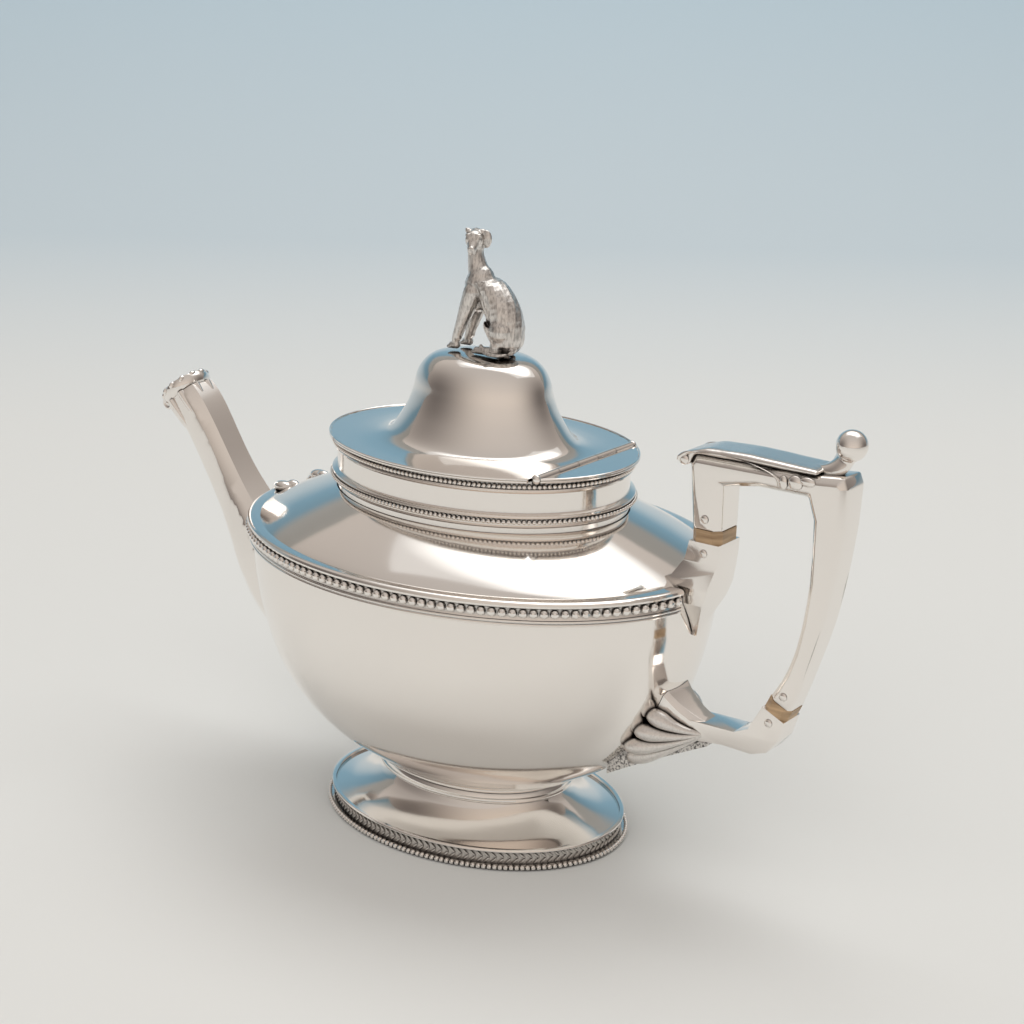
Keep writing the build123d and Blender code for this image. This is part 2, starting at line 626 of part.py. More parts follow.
BACK_DROP = BAR_TOP - LOWER_INSULATOR_Z
BACK_W = 10.2
grip_outer = [
    (BACK_X, BAR_TOP - 0.18 * BACK_DROP),
    (BACK_X - 1.9, BAR_TOP - 0.38 * BACK_DROP),
    (BACK_X - 4.4, BAR_TOP - 0.56 * BACK_DROP),
    (BACK_X - 8.1, BAR_TOP - 0.74 * BACK_DROP),
    on_lower(LOWER_W / 2, INSULATOR_T),
]
grip_inner = [
    on_lower(-LOWER_W / 2, INSULATOR_T),
    (BACK_X - 16.0, BAR_TOP - 0.79 * BACK_DROP),
    (BACK_X - 12.0, BAR_TOP - 0.58 * BACK_DROP),
    (BACK_X - BACK_W - 0.1, BAR_TOP - 0.34 * BACK_DROP),
    (BACK_X - BACK_W - 0.3, BAR_TOP - 0.17 * BACK_DROP),
]
with BuildPart() as handle_grip:
    with BuildSketch(Plane.XZ.offset(-GRIP_DEPTH)):
        with BuildLine():
            Polyline(
                grip_inner[-1],
                (BACK_X - BACK_W - 2.4, BAR_TOP - 6.6),
                (STUB_X + STUB_W + 12, BAR_TOP - 6.6),
                (STUB_X + STUB_W, BAR_TOP - 8.8),
                (STUB_X + STUB_W, UPPER_TOP_Z),
                (STUB_X, UPPER_TOP_Z),
                (STUB_X - 1.6, BAR_TOP - 3.0),
                (STUB_X + 0.4, BAR_TOP),
                (BACK_X - 9.0, BAR_TOP + 0.6),
                (BACK_X - 1.0, BAR_TOP + 1.4),
                (BACK_X + 0.4, BAR_TOP - 2.0),
                grip_outer[0],
            )
            Spline(*grip_outer)
            Line(grip_outer[-1], grip_inner[0])
            Spline(*grip_inner)
        make_face()
    extrude(amount=2 * GRIP_DEPTH)
    lean = atan2(GRIP_TAPER, 1)
    for side in (-1, 1):
        face_plane = Plane(
            origin=(0, side * GRIP_DEPTH / 2, BAR_TOP),
            z_dir=(0, side * cos(lean), -sin(lean)),
        )
        split(bisect_by=face_plane, keep=Keep.BOTTOM)
    long_edges = [
        edge
        for face in handle_grip.faces()
        if abs(face.normal_at().Y) > 0.9
        for edge in face.edges()
        if not (edge.center().Z < UPPER_TOP_Z + 0.1 and edge.center().X < BACK_X - 30)
        and not (edge.center() - Vector(*LOWER_PLANE.offset(INSULATOR_T).origin)).length < half_depth(0) + 2
    ]
    chamfer(long_edges, GRIP_CHAMFER - 0.4)
    tenon(UPPER_PLANE, 0, INSULATOR_T + TENON_LEN, TENON_W, TENON_D, Mode.SUBTRACT)
    tenon(LOWER_PLANE, 0, INSULATOR_T + TENON_LEN, LOWER_TENON_W, TENON_D - 1, Mode.SUBTRACT)
    cross_pins(Mode.SUBTRACT)
finish(handle_grip, "handle_grip")

# the upper socket flares down over the shoulder and ends in a pointed tail below the girdle
shoulder_core = turned_core(SHOULDER_OUTLINE, SHOULDER_ENDS)
TAIL_Z = GIRDLE_Z - 14.5
SOCKET_HALF = half_depth(UPPER_INSULATOR_Z) / ASPECT
with BuildPart() as upper_socket:
    with BuildSketch(Plane.XZ):
        with BuildLine():
            Polyline(
                (STUB_X + STUB_W, UPPER_INSULATOR_Z),
                (STUB_X, UPPER_INSULATOR_Z),
                (STUB_X - 1.4, UPPER_INSULATOR_Z - 6.2),
                (STUB_X - 5.4, UPPER_INSULATOR_Z - 12.2),
                (STUB_X - 12.0, UPPER_INSULATOR_Z - 15.0),
                (GIRDLE_HALF - 12.0, GIRDLE_Z - 2.0),
                (GIRDLE_HALF - 6.0, TAIL_Z),
                (GIRDLE_HALF + 0.6, TAIL_Z),
            )
            Spline(
                (GIRDLE_HALF + 0.6, TAIL_Z),
                (GIRDLE_HALF + 3.4, TAIL_Z + 6.5),
                (GIRDLE_HALF + 7.0, GIRDLE_Z + 0.6),
                (STUB_X + STUB_W - 0.7, UPPER_INSULATOR_Z - 8.0),
                (STUB_X + STUB_W, UPPER_INSULATOR_Z),
                tangents=((0.35, 1), (0, 1)),
            )
        make_face()
    extrude(amount=GRIP_DEPTH, both=True)
    with BuildSketch(Plane.YZ):
        with BuildLine():
            Polyline(
                (0, TAIL_Z - 0.1),
                (0.55 * SOCKET_HALF, TAIL_Z + 6.5),
                (1.15 * SOCKET_HALF, GIRDLE_Z - 1.5),
                (1.25 * SOCKET_HALF, GIRDLE_Z + 4.0),
                (SOCKET_HALF, UPPER_INSULATOR_Z - 7.0),
                (SOCKET_HALF, UPPER_INSULATOR_Z),
                (-SOCKET_HALF, UPPER_INSULATOR_Z),
                (-SOCKET_HALF, UPPER_INSULATOR_Z - 7.0),
                (-1.25 * SOCKET_HALF, GIRDLE_Z + 4.0),
                (-1.15 * SOCKET_HALF, GIRDLE_Z - 1.5),
                (-0.55 * SOCKET_HALF, TAIL_Z + 6.5),
                close=True,
            )
        make_face()
    extrude(amount=STUB_X + 2 * STUB_W, mode=Mode.INTERSECT)
    add(bowl_core, mode=Mode.SUBTRACT)
    add(shoulder_core, mode=Mode.SUBTRACT)
    scale(by=OVAL)
    tenon(UPPER_PLANE, -TENON_LEN, 0, TENON_W, TENON_D, Mode.SUBTRACT)
    with Locations((PIN_CENTRES[0].X, 0, PIN_CENTRES[0].Z)):
        Cylinder(HANDLE_PIN_R, 4 * GRIP_DEPTH, rotation=(90, 0, 0), mode=Mode.SUBTRACT)
finish(upper_socket, "handle_upper_socket")

# the lower socket: an elbow under the insulator and an arm that flares on to the bowl
ARM_TOP = LOWER_INSULATOR_Z - 9.6
ARM_LOW = ARM_TOP - 5.2
ELBOW_X = LOWER_INSULATOR_X - 6.6
LOWER_HALF = half_depth(LOWER_INSULATOR_Z) / ASPECT
FLARE_X = GIRDLE_HALF + 7.0
with BuildPart() as lower_socket:
    with BuildSketch(Plane.XZ):
        with BuildLine():
            Polyline(
                on_lower(LOWER_W / 2, 0),
                on_lower(-LOWER_W / 2, 0),
                (ELBOW_X - 2.0, ARM_TOP + 2.6),
                (ELBOW_X - 7.0, ARM_TOP + 0.3),
                (FLARE_X, ARM_TOP),
                (FLARE_X - 12.0, ARM_TOP),
                (FLARE_X - 12.0, ARM_LOW - 1.5),
                (FLARE_X, ARM_LOW - 1.0),
                (FLARE_X + 8.0, ARM_LOW),
                (ELBOW_X - 0.5, ARM_LOW - 0.3),
                (ELBOW_X + 5.0, ARM_LOW + 1.6),
                (ELBOW_X + 8.4, ARM_LOW + 6.0),
                close=True,
            )
        make_face()
    extrude(amount=LOWER_HALF, both=True)
    for x, low, high, half in (
        (FLARE_X + 0.5, ARM_LOW - 1.0, ARM_TOP, 4.6),
        (FLARE_X - 9.0, ARM_LOW - 3.5, ARM_TOP + 5.0, 6.5),
        (FLARE_X - 15.0, ARM_LOW - 7.0, ARM_TOP + 12.0, 9.0),
    ):
        with BuildSketch(Plane.YZ.offset(x)):
            with Locations((0, between(low, high, 0.5))):
                Rectangle(2 * half / ASPECT, high - low)
                chamfer(vertices(), 2.0)
    loft()
    add(bowl_core, mode=Mode.SUBTRACT)
    scale(by=OVAL)
    tenon(LOWER_PLANE, -TENON_LEN, 0, LOWER_TENON_W, TENON_D - 1, Mode.SUBTRACT)
    with Locations((PIN_CENTRES[2].X, 0, PIN_CENTRES[2].Z)):
        Cylinder(HANDLE_PIN_R, 4 * GRIP_DEPTH, rotation=(90, 0, 0), mode=Mode.SUBTRACT)
finish(lower_socket, "handle_lower_socket")

# a leaf fan fills the corner under the arm
with BuildPart() as fan:
    for x, low, high, half in (
        (FLARE_X + 1.0, ARM_LOW - 3.4, ARM_LOW - 1.2, 2.4),
        (FLARE_X - 12.0, ARM_LOW - 9.0, ARM_LOW - 3.0, 7.0),
        (FLARE_X - 30.0, ARM_LOW - 18.0, ARM_LOW - 6.0, 13.0),
    ):
        with BuildSketch(Plane.YZ.offset(x)):
            with Locations((0, between(low, high, 0.5))):
                Rectangle(2 * half / ASPECT, high - low)
    loft()
    add(bowl_core, mode=Mode.SUBTRACT)
    scale(by=OVAL)
    add(lower_socket.part, mode=Mode.SUBTRACT)
finish(fan, "fan_palmette")

# thumb leaf along the top bar, with a scroll at its front, and the bud that stops the thumb
LEAF_HALF = GRIP_DEPTH / 2 + 0.4
LEAF_FRONT_X = STUB_X - 2.6
with BuildPart() as thumb_leaf:
    with BuildSketch(Plane.XZ):
        with BuildLine():
            Polyline(
                (LEAF_FRONT_X, BAR_TOP - 2.6),
                (LEAF_FRONT_X + 3.0, BAR_TOP),
                (BACK_X - 9.0, BAR_TOP + 0.6),
                (BACK_X - 9.0, BAR_TOP + 2.4),
                (STUB_X + 18.0, BAR_TOP + LEAF_T),
                (STUB_X + 4.0, BAR_TOP + LEAF_T - 0.6),
                (LEAF_FRONT_X - 1.6, BAR_TOP),
                close=True,
            )
        make_face()
    extrude(amount=LEAF_HALF, both=True)
    with BuildSketch(Plane.XZ):
        with Locations((LEAF_FRONT_X, BAR_TOP - 2.0)):
            Circle(2.4)
    extrude(amount=LEAF_HALF, both=True)
    add(handle_grip.part, mode=Mode.SUBTRACT)
finish(thumb_leaf, "thumb_leaf")

KNOB_X = BACK_X - 2.0
KNOB_Z = BAR_TOP + 10.1
with BuildPart() as thumb_knob:
    with Locations((KNOB_X, 0, KNOB_Z)):
        Sphere(KNOB_R)
    stem_foot = Vector(BACK_X - 6.2, 0, BAR_TOP + 0.2)
    stem_run = Vector(KNOB_X, 0, KNOB_Z) - stem_foot
    with Locations(Plane(origin=stem_foot, z_dir=stem_run).location):
        Cone(2.6, 1.9, stem_run.length, align=(Align.CENTER, Align.CENTER, Align.MIN))
    add(handle_grip.part, mode=Mode.SUBTRACT)
    add(thumb_leaf.part, mode=Mode.SUBTRACT)
finish(thumb_knob, "thumb_knob")
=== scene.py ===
"""Oval silver teapot: smooth bodies, beading, chasing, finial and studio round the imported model."""
import math

import bpy
from bpy.props import FloatProperty, FloatVectorProperty, IntProperty, PointerProperty
from mathutils import Matrix, Vector


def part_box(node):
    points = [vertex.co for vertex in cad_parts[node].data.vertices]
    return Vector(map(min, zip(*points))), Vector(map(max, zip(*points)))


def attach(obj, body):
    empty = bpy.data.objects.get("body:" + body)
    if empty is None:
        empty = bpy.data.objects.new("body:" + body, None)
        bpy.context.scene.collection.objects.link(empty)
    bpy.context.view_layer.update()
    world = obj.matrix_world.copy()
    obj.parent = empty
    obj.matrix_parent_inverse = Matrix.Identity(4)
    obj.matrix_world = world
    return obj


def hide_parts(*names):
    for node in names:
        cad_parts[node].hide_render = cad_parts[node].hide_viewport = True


bl_info = {
    "name": "Silver Teapot",
    "version": (1, 0, 0),
    "blender": (4, 5, 0),
    "location": "View3D > Sidebar > Teapot",
    "description": "Builds the visible pieces of an oval silver teapot round its fixed frame",
    "category": "Object",
}

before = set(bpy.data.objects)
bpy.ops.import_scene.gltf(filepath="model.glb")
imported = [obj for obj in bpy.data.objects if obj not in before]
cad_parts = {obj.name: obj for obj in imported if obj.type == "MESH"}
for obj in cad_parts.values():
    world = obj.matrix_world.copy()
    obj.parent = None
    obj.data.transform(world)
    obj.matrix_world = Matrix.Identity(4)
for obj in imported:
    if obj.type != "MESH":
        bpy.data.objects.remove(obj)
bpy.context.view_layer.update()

MM = 0.001
TURN_STEPS = 192  # faces round an oval body
SMOOTH_ANGLE = math.radians(32)
MERGE = 2e-6  # metres, joins the doubled corners of a ring

BOWL_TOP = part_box("bowl")[1]
ASPECT = BOWL_TOP.y / BOWL_TOP.x  # width over length of every oval


def half_of(node):
    """Half length of an oval node, in millimetres."""
    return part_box(node)[1].x / MM


def heights(node):
    """Lowest and highest point of a node, in millimetres."""
    low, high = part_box(node)
    return low.z / MM, high.z / MM


# ------------------------------------------------------------------ selecting and finishing
def clear_selection():
    if bpy.context.object and bpy.context.object.mode != "OBJECT":
        bpy.ops.object.mode_set(mode="OBJECT")
    bpy.ops.object.select_all(action="DESELECT")


def pick(*pieces):
    """Select only these pieces, with the first one active."""
    clear_selection()
    for piece in pieces:
        piece.select_set(True)
    bpy.context.view_layer.objects.active = pieces[0]


def edit_all():
    """Edit the active piece with all of it selected."""
    bpy.ops.object.mode_set(mode="EDIT")
    bpy.ops.mesh.select_all(action="SELECT")


def started(name):
    """Name the primitive that has just been added."""
    piece = bpy.context.object
    piece.name = name
    piece.data.name = name
    return piece


def settle(piece, smooth=SMOOTH_ANGLE):
    """Put a piece's place into its mesh, and shade it smooth between its sharp edges."""
    pick(piece)
    bpy.ops.object.transform_apply()
    if smooth:
        bpy.ops.object.shade_smooth_by_angle(angle=smooth)
    return piece


def apply_modifier(piece, kind, **settings):
    """Add a modifier with its settings and apply it."""
    pick(piece)
    modifier = piece.modifiers.new(kind.title(), kind)
    for key, value in settings.items():
        setattr(modifier, key, value)
    bpy.ops.object.modifier_apply(modifier=modifier.name)


def join(name, pieces):
    """Join pieces into one mesh with one name."""
    pick(*pieces)
    if len(pieces) > 1:
        bpy.ops.object.join()
    return started(name)


def copy_of(piece, matrix):
    """A copy with its own mesh, placed by a matrix."""
    twin = piece.copy()
    twin.data = piece.data.copy()
    bpy.context.scene.collection.objects.link(twin)
    twin.matrix_world = matrix
    return twin


def dress(piece, body, kind, *replaced, smooth=SMOOTH_ANGLE):
    """Settle a finished piece, and give it its finish, its body and the nodes that it stands for."""
    settle(piece, smooth)
    piece.data.materials.clear()
    piece.data.materials.append(finish_named(kind))
    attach(piece, body)
    if replaced:
        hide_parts(*replaced)


# ------------------------------------------------------------------ ways of making
def smooth_line(points, steps=6):
    """Points on a smooth line through the given ones."""
    ends = [points[0], *points, points[-1]]
    line = []
    for before, low, high, after in zip(ends, ends[1:], ends[2:], ends[3:]):
        for step in range(steps):
            t = step / steps
            line.append(tuple(
                0.5 * (2 * b + (c - a) * t + (2 * a - 5 * b + 4 * c - d) * t**2 + (3 * b - a - 3 * c + d) * t**3)
                for a, b, c, d in zip(before, low, high, after)
            ))
    return [*line, tuple(points[-1])]


def walled(line, wall):
    """Close an outline into a wall, with its inner side a wall's thickness to the left of the line."""
    inner = []
    for index, (half, z) in enumerate(line):
        low = line[max(index - 1, 0)]
        high = line[min(index + 1, len(line) - 1)]
        run = Vector((high[0] - low[0], high[1] - low[1])).normalized()
        inner.append((max(half - wall * run.y, 0.0), z + wall * run.x))
    return [*line, *reversed(inner)]


def round_section(half, z, radius, steps=10):
    """The section of a round wire."""
    turns = [2 * math.pi * step / steps for step in range(steps)]
    return [(half + radius * math.cos(turn), z + radius * math.sin(turn)) for turn in turns]


def turn_oval(name, section, steps=TURN_STEPS):
    """Turn a closed section round the pot's axis, and squeeze it to the oval."""
    tiny = 0.0005
    section = [(max(half, tiny), z) for half, z in section]
    first_half, first_z = section[0]
    clear_selection()
    bpy.ops.mesh.primitive_circle_add(vertices=steps, radius=first_half * MM, location=(0, 0, first_z * MM))
    piece = started(name)
    bpy.ops.object.transform_apply()
    edit_all()
    half, z = first_half, first_z
    for next_half, next_z in [*section[1:], section[0]]:
        bpy.ops.mesh.extrude_region_move(TRANSFORM_OT_translate={"value": (0, 0, (next_z - z) * MM)})
        share = next_half / half
        bpy.ops.transform.resize(value=(share, share, 1), center_override=(0, 0, next_z * MM))
        half, z = next_half, next_z
    bpy.ops.mesh.select_all(action="SELECT")
    bpy.ops.mesh.remove_doubles(threshold=MERGE)
    bpy.ops.transform.resize(value=(1, ASPECT, 1), center_override=(0, 0, 0))
    bpy.ops.mesh.normals_make_consistent(inside=False)
    bpy.ops.object.mode_set(mode="OBJECT")
    return piece


def ball(name, size, place=(0, 0, 0), segments=8, rings=6):
    """A small ball squeezed to three half sizes in millimetres."""
    clear_selection()
    bpy.ops.mesh.primitive_uv_sphere_add(
        segments=segments, ring_count=rings, radius=MM, location=[c * MM for c in place])
    piece = started(name)
    piece.scale = size
    bpy.ops.object.transform_apply(location=False, rotation=False, scale=True)
    return piece


def round_the_oval(half, count):
    """Evenly spaced stations round an oval: x, y and outward angle, in millimetres."""
    fine = 3600
    angles = [2 * math.pi * step / fine for step in range(fine + 1)]
    points = [(half * math.cos(a), half * ASPECT * math.sin(a)) for a in angles]
    lengths = [0.0]
    for low, high in zip(points, points[1:]):
        lengths.append(lengths[-1] + math.dist(low, high))
    stations, index = [], 0
    for step in range(count):
        wanted = lengths[-1] * (step + 0.5) / count
        while lengths[index + 1] < wanted:
            index += 1
        x, y = points[index]
        outward = math.atan2(y / ASPECT**2, x)
        stations.append((x, y, outward))
    return stations


def row_of(name, pattern, half, z, count, keep=None):
    """Copies of a small pattern set round the oval at one height, joined into one piece."""
    copies = []
    for x, y, outward in round_the_oval(half, count):
        if keep is None or keep(x, y):
            place = Matrix.Translation((x * MM, y * MM, z * MM)) @ Matrix.Rotation(outward, 4, "Z")
            copies.append(copy_of(pattern, place))
    bpy.data.objects.remove(pattern)
    return join(name, copies)


def melt(piece, voxel, passes, factor=0.5):
    """Melt joined lumps into one smooth casting."""
    apply_modifier(settle(piece), "REMESH", mode="VOXEL", voxel_size=voxel * MM)
    apply_modifier(piece, "SMOOTH", factor=factor, iterations=passes)
    return piece


def bead_row(node, name, size, count, half=None, segments=8, rings=6, keep=None):
    """A row of round beads in place of a plain wire."""
    radius = size / MM
    half = half or half_of(node)
    bead = ball("bead", (radius, radius, radius), segments=segments, rings=rings)
    row = row_of(name, bead, half - radius, sum(heights(node)) / 2, count, keep)
    dress(row, "pot", "beading", node)


def cut_with(piece, cutters):
    """Cut a piece with other solids, which are then removed."""
    for cutter in cutters:
        apply_modifier(piece, "BOOLEAN", object=cutter, operation="DIFFERENCE", solver="EXACT")
        bpy.data.objects.remove(cutter)


def cutter_box(low, high):
    """A plain block between two corners, in millimetres, that cuts a gap."""
    clear_selection()
    middle = [(a + b) / 2 * MM for a, b in zip(low, high)]
    bpy.ops.mesh.primitive_cube_add(size=1, location=middle)
    block = started("cutter")
    block.scale = [(b - a) * MM for a, b in zip(low, high)]
    bpy.ops.object.transform_apply(location=True, rotation=False, scale=True)
    return block


def split_at(piece, x, keep_low):
    """Cut a piece across at x millimetres and close the cut."""
    pick(piece)
    edit_all()
    bpy.ops.mesh.bisect(plane_co=(x * MM, 0, 0), plane_no=(1, 0, 0), use_fill=True,
                        clear_outer=keep_low, clear_inner=not keep_low)
    bpy.ops.object.mode_set(mode="OBJECT")


PIN_CLEARING = 2.4  # millimetres round each pin that stay unbevelled
# x, z and half length of each pin
PINS = ((91.5, 115.8, 6.6), (91.5, 127.0, 6.9), (117.2, 65.5, 5.3), (121.8, 75.5, 5.5))


def weigh_sharp_edges(piece, angle):
    """Mark the sharp outer edges for the bevel, and leave the pin holes out."""
    pick(piece)
    bpy.ops.object.mode_set(mode="EDIT")
    bpy.ops.mesh.select_mode(type="EDGE")
    bpy.ops.mesh.select_all(action="DESELECT")
    bpy.ops.mesh.edges_select_sharp(sharpness=angle)
    bpy.ops.object.mode_set(mode="OBJECT")
    mesh = piece.data
    weights = mesh.attributes.new("bevel_weight_edge", "FLOAT", "EDGE")
    for edge in mesh.edges:
        middle = sum((mesh.vertices[v].co for v in edge.vertices), Vector()) / 2 / MM
        clear = all(math.hypot(middle.x - x, middle.z - z) > PIN_CLEARING for x, z, _ in PINS)
        weights.data[edge.index].value = 1.0 if edge.select and clear else 0.0


def merged_copy(node, name, bevel=0.0, segments=3, flat_angle=2.0, sharp=30):
    """A node's own shape as one closed mesh, with its sharp edges softened."""
    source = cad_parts[node]
    piece = bpy.data.objects.new(name, source.data.copy())
    bpy.context.scene.collection.objects.link(piece)
    pick(piece)
    edit_all()
    bpy.ops.mesh.remove_doubles(threshold=MERGE)
    bpy.ops.mesh.customdata_custom_splitnormals_clear()
    if flat_angle:
        bpy.ops.mesh.dissolve_limited(angle_limit=math.radians(flat_angle))
    bpy.ops.object.mode_set(mode="OBJECT")
    if bevel:
        weigh_sharp_edges(piece, math.radians(sharp))
        apply_modifier(piece, "BEVEL", width=bevel * MM, segments=segments, limit_method="WEIGHT")
    started(name)
    return piece


def tube_along(name, stations, segments=10):
    """A round bar through (x, y, z, radius) stations in millimetres, closed at both ends."""
    clear_selection()
    points = [Vector(s[:3]) * MM for s in stations]
    radii = [s[3] * MM for s in stations]
    bpy.ops.mesh.primitive_circle_add(vertices=segments, radius=radii[0], location=(0, 0, 0), fill_type="NGON")
    piece = started(name)
    runs = []
    for index in range(len(points)):
        low, high = points[max(index - 1, 0)], points[min(index + 1, len(points) - 1)]
        runs.append((high - low).normalized())
    piece.rotation_mode = "QUATERNION"
    piece.rotation_quaternion = Vector((0, 0, 1)).rotation_difference(runs[0])
    piece.location = points[0]
    bpy.ops.object.transform_apply()
    piece.rotation_mode = "XYZ"
    edit_all()
    for index in range(1, len(points)):
        bpy.ops.mesh.extrude_region_move(
            TRANSFORM_OT_translate={"value": tuple(points[index] - points[index - 1])})
        share = radii[index] / radii[index - 1]
        bpy.ops.transform.resize(value=(share, share, share), center_override=tuple(points[index]))
        turn = runs[index - 1].rotation_difference(runs[index])
        axis, angle = turn.to_axis_angle()
        if angle > 1e-4:
            swing = axis.to_track_quat("Z", "Y").to_matrix()
            bpy.ops.transform.rotate(value=-angle, orient_axis="Z", orient_type="GLOBAL",
                                     orient_matrix=swing, center_override=tuple(points[index]))
    bpy.ops.mesh.select_all(action="SELECT")
    bpy.ops.mesh.normals_make_consistent(inside=False)
    bpy.ops.object.mode_set(mode="OBJECT")
    return piece


# ------------------------------------------------------------------ shader expressions
class Value:
    """A node socket that takes part in Python expressions."""

    def __init__(self, shader, socket):
        self.shader = shader
        self.socket = socket

    def _maths(self, operation, first, second):
        return self.shader.node("ShaderNodeMath", {"operation": operation}, [first, second])

    def __add__(self, other):
        return self._maths("ADD", self, other)

    def __radd__(self, other):
        return self._maths("ADD", other, self)

    def __sub__(self, other):
        return self._maths("SUBTRACT", self, other)

    def __rsub__(self, other):
        return self._maths("SUBTRACT", other, self)

    def __mul__(self, other):
        return self._maths("MULTIPLY", self, other)

    def __rmul__(self, other):
        return self._maths("MULTIPLY", other, self)


class Shader:
    """A material, or a world, whose nodes are added one by one."""

    def __init__(self, name, world=False):
        self.material = (bpy.data.worlds if world else bpy.data.materials).new(name)
        self.material.use_nodes = True
        self.tree = self.material.node_tree
        self.surface = self.tree.nodes["Background" if world else "Principled BSDF"]

    def node(self, kind, settings=None, values=(), output=0):
        """Add a node, set it up, fill its inputs with numbers or links, and return one output."""
        made = self.tree.nodes.new(kind)
        for key, value in (settings or {}).items():
            if key == "stops":
                ramp = made.color_ramp.elements
                while len(ramp) < len(value):
                    ramp.new(1.0)
                for element, (position, color) in zip(ramp, value):
                    element.position = position
                    element.color = color if len(color) == 4 else (*color, 1)
            else:
                setattr(made, key, value)
        pairs = values.items() if isinstance(values, dict) else enumerate(values)
        for key, value in pairs:
            self.fill(made.inputs[key], value)
        return Value(self, made.outputs[output])

    def fill(self, socket, value):
        if isinstance(value, Value):
            self.tree.links.new(value.socket, socket)
        elif value is not None:
            socket.default_value = value

    def coordinates(self, scale=(1, 1, 1)):
        """Object coordinates in metres, scaled."""
        where = self.node("ShaderNodeTexCoord", output=3)
        return self.node("ShaderNodeMapping", {}, {"Vector": where, "Scale": scale})

    def noise(self, scale, detail=3.0, stretch=(1, 1, 1)):
        where = self.coordinates(stretch)
        return self.node("ShaderNodeTexNoise", {}, {"Vector": where, "Scale": scale, "Detail": detail})

    def mix(self, factor, first, second):
        mixed = self.tree.nodes.new("ShaderNodeMix")
        mixed.data_type = "RGBA"
        self.fill(mixed.inputs[0], factor)
        self.fill(mixed.inputs[6], first)
        self.fill(mixed.inputs[7], second)
        return Value(self, mixed.outputs[2])

    def ramp(self, factor, stops):
        return self.node("ShaderNodeValToRGB", {"stops": stops}, [factor])

    def recess(self, reach):
        """1 deep in the corners of the work and 0 in the open, from ambient occlusion; it places the dark oxide and the
        painted shade.
        """
        seen = self.node("ShaderNodeAmbientOcclusion", {"samples": 6}, {"Distance": reach * MM}, output=1)
        return 1 - seen

    def bump(self, height, strength, distance):
        bumped = self.node("ShaderNodeBump", {}, {
            "Strength": strength, "Distance": distance * MM, "Height": height})
        self.set("Normal", bumped)

    def set(self, socket, value):
        self.fill(self.surface.inputs[socket], value)


def rgba(color):
    return (*color[:3], 1.0)


def polished_silver(name, finish, oxide_and_shade_reach=0.0, oxide_and_shade_start=0.45, oxide_and_shade_full=0.85):
    """Polished silver with faint hairlines; if a reach is given, ambient occlusion lays a dark colour into its
    recesses: oxide, and painted shade.
    """
    shader = Shader(name)
    silver = rgba(finish.silver)
    cloud = shader.noise(28.0)
    tone = shader.mix(cloud * 0.5, silver, rgba([c * 0.93 for c in finish.silver]))
    if oxide_and_shade_reach:
        # ambient occlusion darkens the recesses: dark oxide, and painted shade where shade falls
        depth = shader.recess(oxide_and_shade_reach)
        oxide_and_shade_mask = shader.ramp(depth, [(oxide_and_shade_start, (0, 0, 0)), (oxide_and_shade_full, (1, 1, 1))])
        tone = shader.mix(oxide_and_shade_mask, tone, rgba(finish.oxide_and_shade))
        shader.set("Roughness", 0.3 * oxide_and_shade_mask + (finish.polish + 0.05 * cloud))
    else:
        shader.set("Roughness", finish.polish + 0.05 * cloud)
    shader.set("Base Color", tone)
    shader.set("Metallic", 1.0)
    hairline = shader.noise(900.0, 2.0, (1, 1, 5))
    shader.bump(hairline, 0.03, 0.02)
    return shader.material


def brushed_silver(name, finish, strength, reach, stretch, grime_share):
    """Cast silver with fine tool marks, and dark oxide with painted shade laid into its hollows by ambient occlusion.
    """
    shader = Shader(name)
    # ambient occlusion darkens the hollows: dark oxide, and painted shade where shade falls
    depth = shader.recess(reach)
    oxide_and_shade_mask = shader.ramp(depth, [(0.12, (0, 0, 0)), (0.6, (1, 1, 1))])
    strokes = shader.noise(1500.0, 4.0, stretch)
    grime = shader.ramp(strokes, [(0.36, (1, 1, 1)), (0.56, (0, 0, 0))])
    tone = shader.mix(grime * grime_share, rgba([c * 0.86 for c in finish.silver]), rgba(finish.oxide_and_shade))
    shader.set("Base Color", shader.mix(oxide_and_shade_mask, tone, rgba(finish.oxide_and_shade)))
    shader.set("Roughness", 0.22 + 0.2 * strokes)
    shader.set("Metallic", 1.0)
    shader.bump(strokes, strength, 0.15)
    return shader.material


def leaf_top_silver(name, finish):
    """Polished silver with a fine stippled grain for the thumb leaf."""
    shader = Shader(name)
    stipple = shader.noise(700.0, 5.0)
    shader.set("Base Color", shader.mix(stipple * 0.5, rgba(finish.silver), rgba([c * 0.8 for c in finish.silver])))
    shader.set("Roughness", 0.14 + 0.14 * stipple)
    shader.set("Metallic", 1.0)
    shader.bump(stipple, 0.6, 0.12)
    return shader.material


def streaky_bone(name, finish):
    """Old bone: tan with pale and brown streaks along the grain."""
    shader = Shader(name)
    grain = shader.noise(60.0, 6.0, (1, 1, 14))
    fleck = shader.noise(260.0, 3.0, (1, 1, 6))
    tone = shader.ramp(grain, [
        (0.3, finish.bone_dark), (0.5, finish.bone), (0.7, [min(c * 1.35, 1) for c in finish.bone])])
    shader.set("Base Color", shader.mix(fleck * 0.35, tone, rgba(finish.bone_dark)))
    shader.set("Roughness", 0.32 + 0.2 * grain)
    shader.bump(fleck, 0.25, 0.06)
    return shader.material


# how far the oxide and painted shade reach in millimetres, and the depths where they start and are full
POLISHED = {
    "polished_sheet": (),
    "polished_casting": (2.5, 0.3, 0.7),
    "beading": (1.6, 0.38, 0.72),
    "girdle_channel": (2.2, 0.3, 0.6),
}
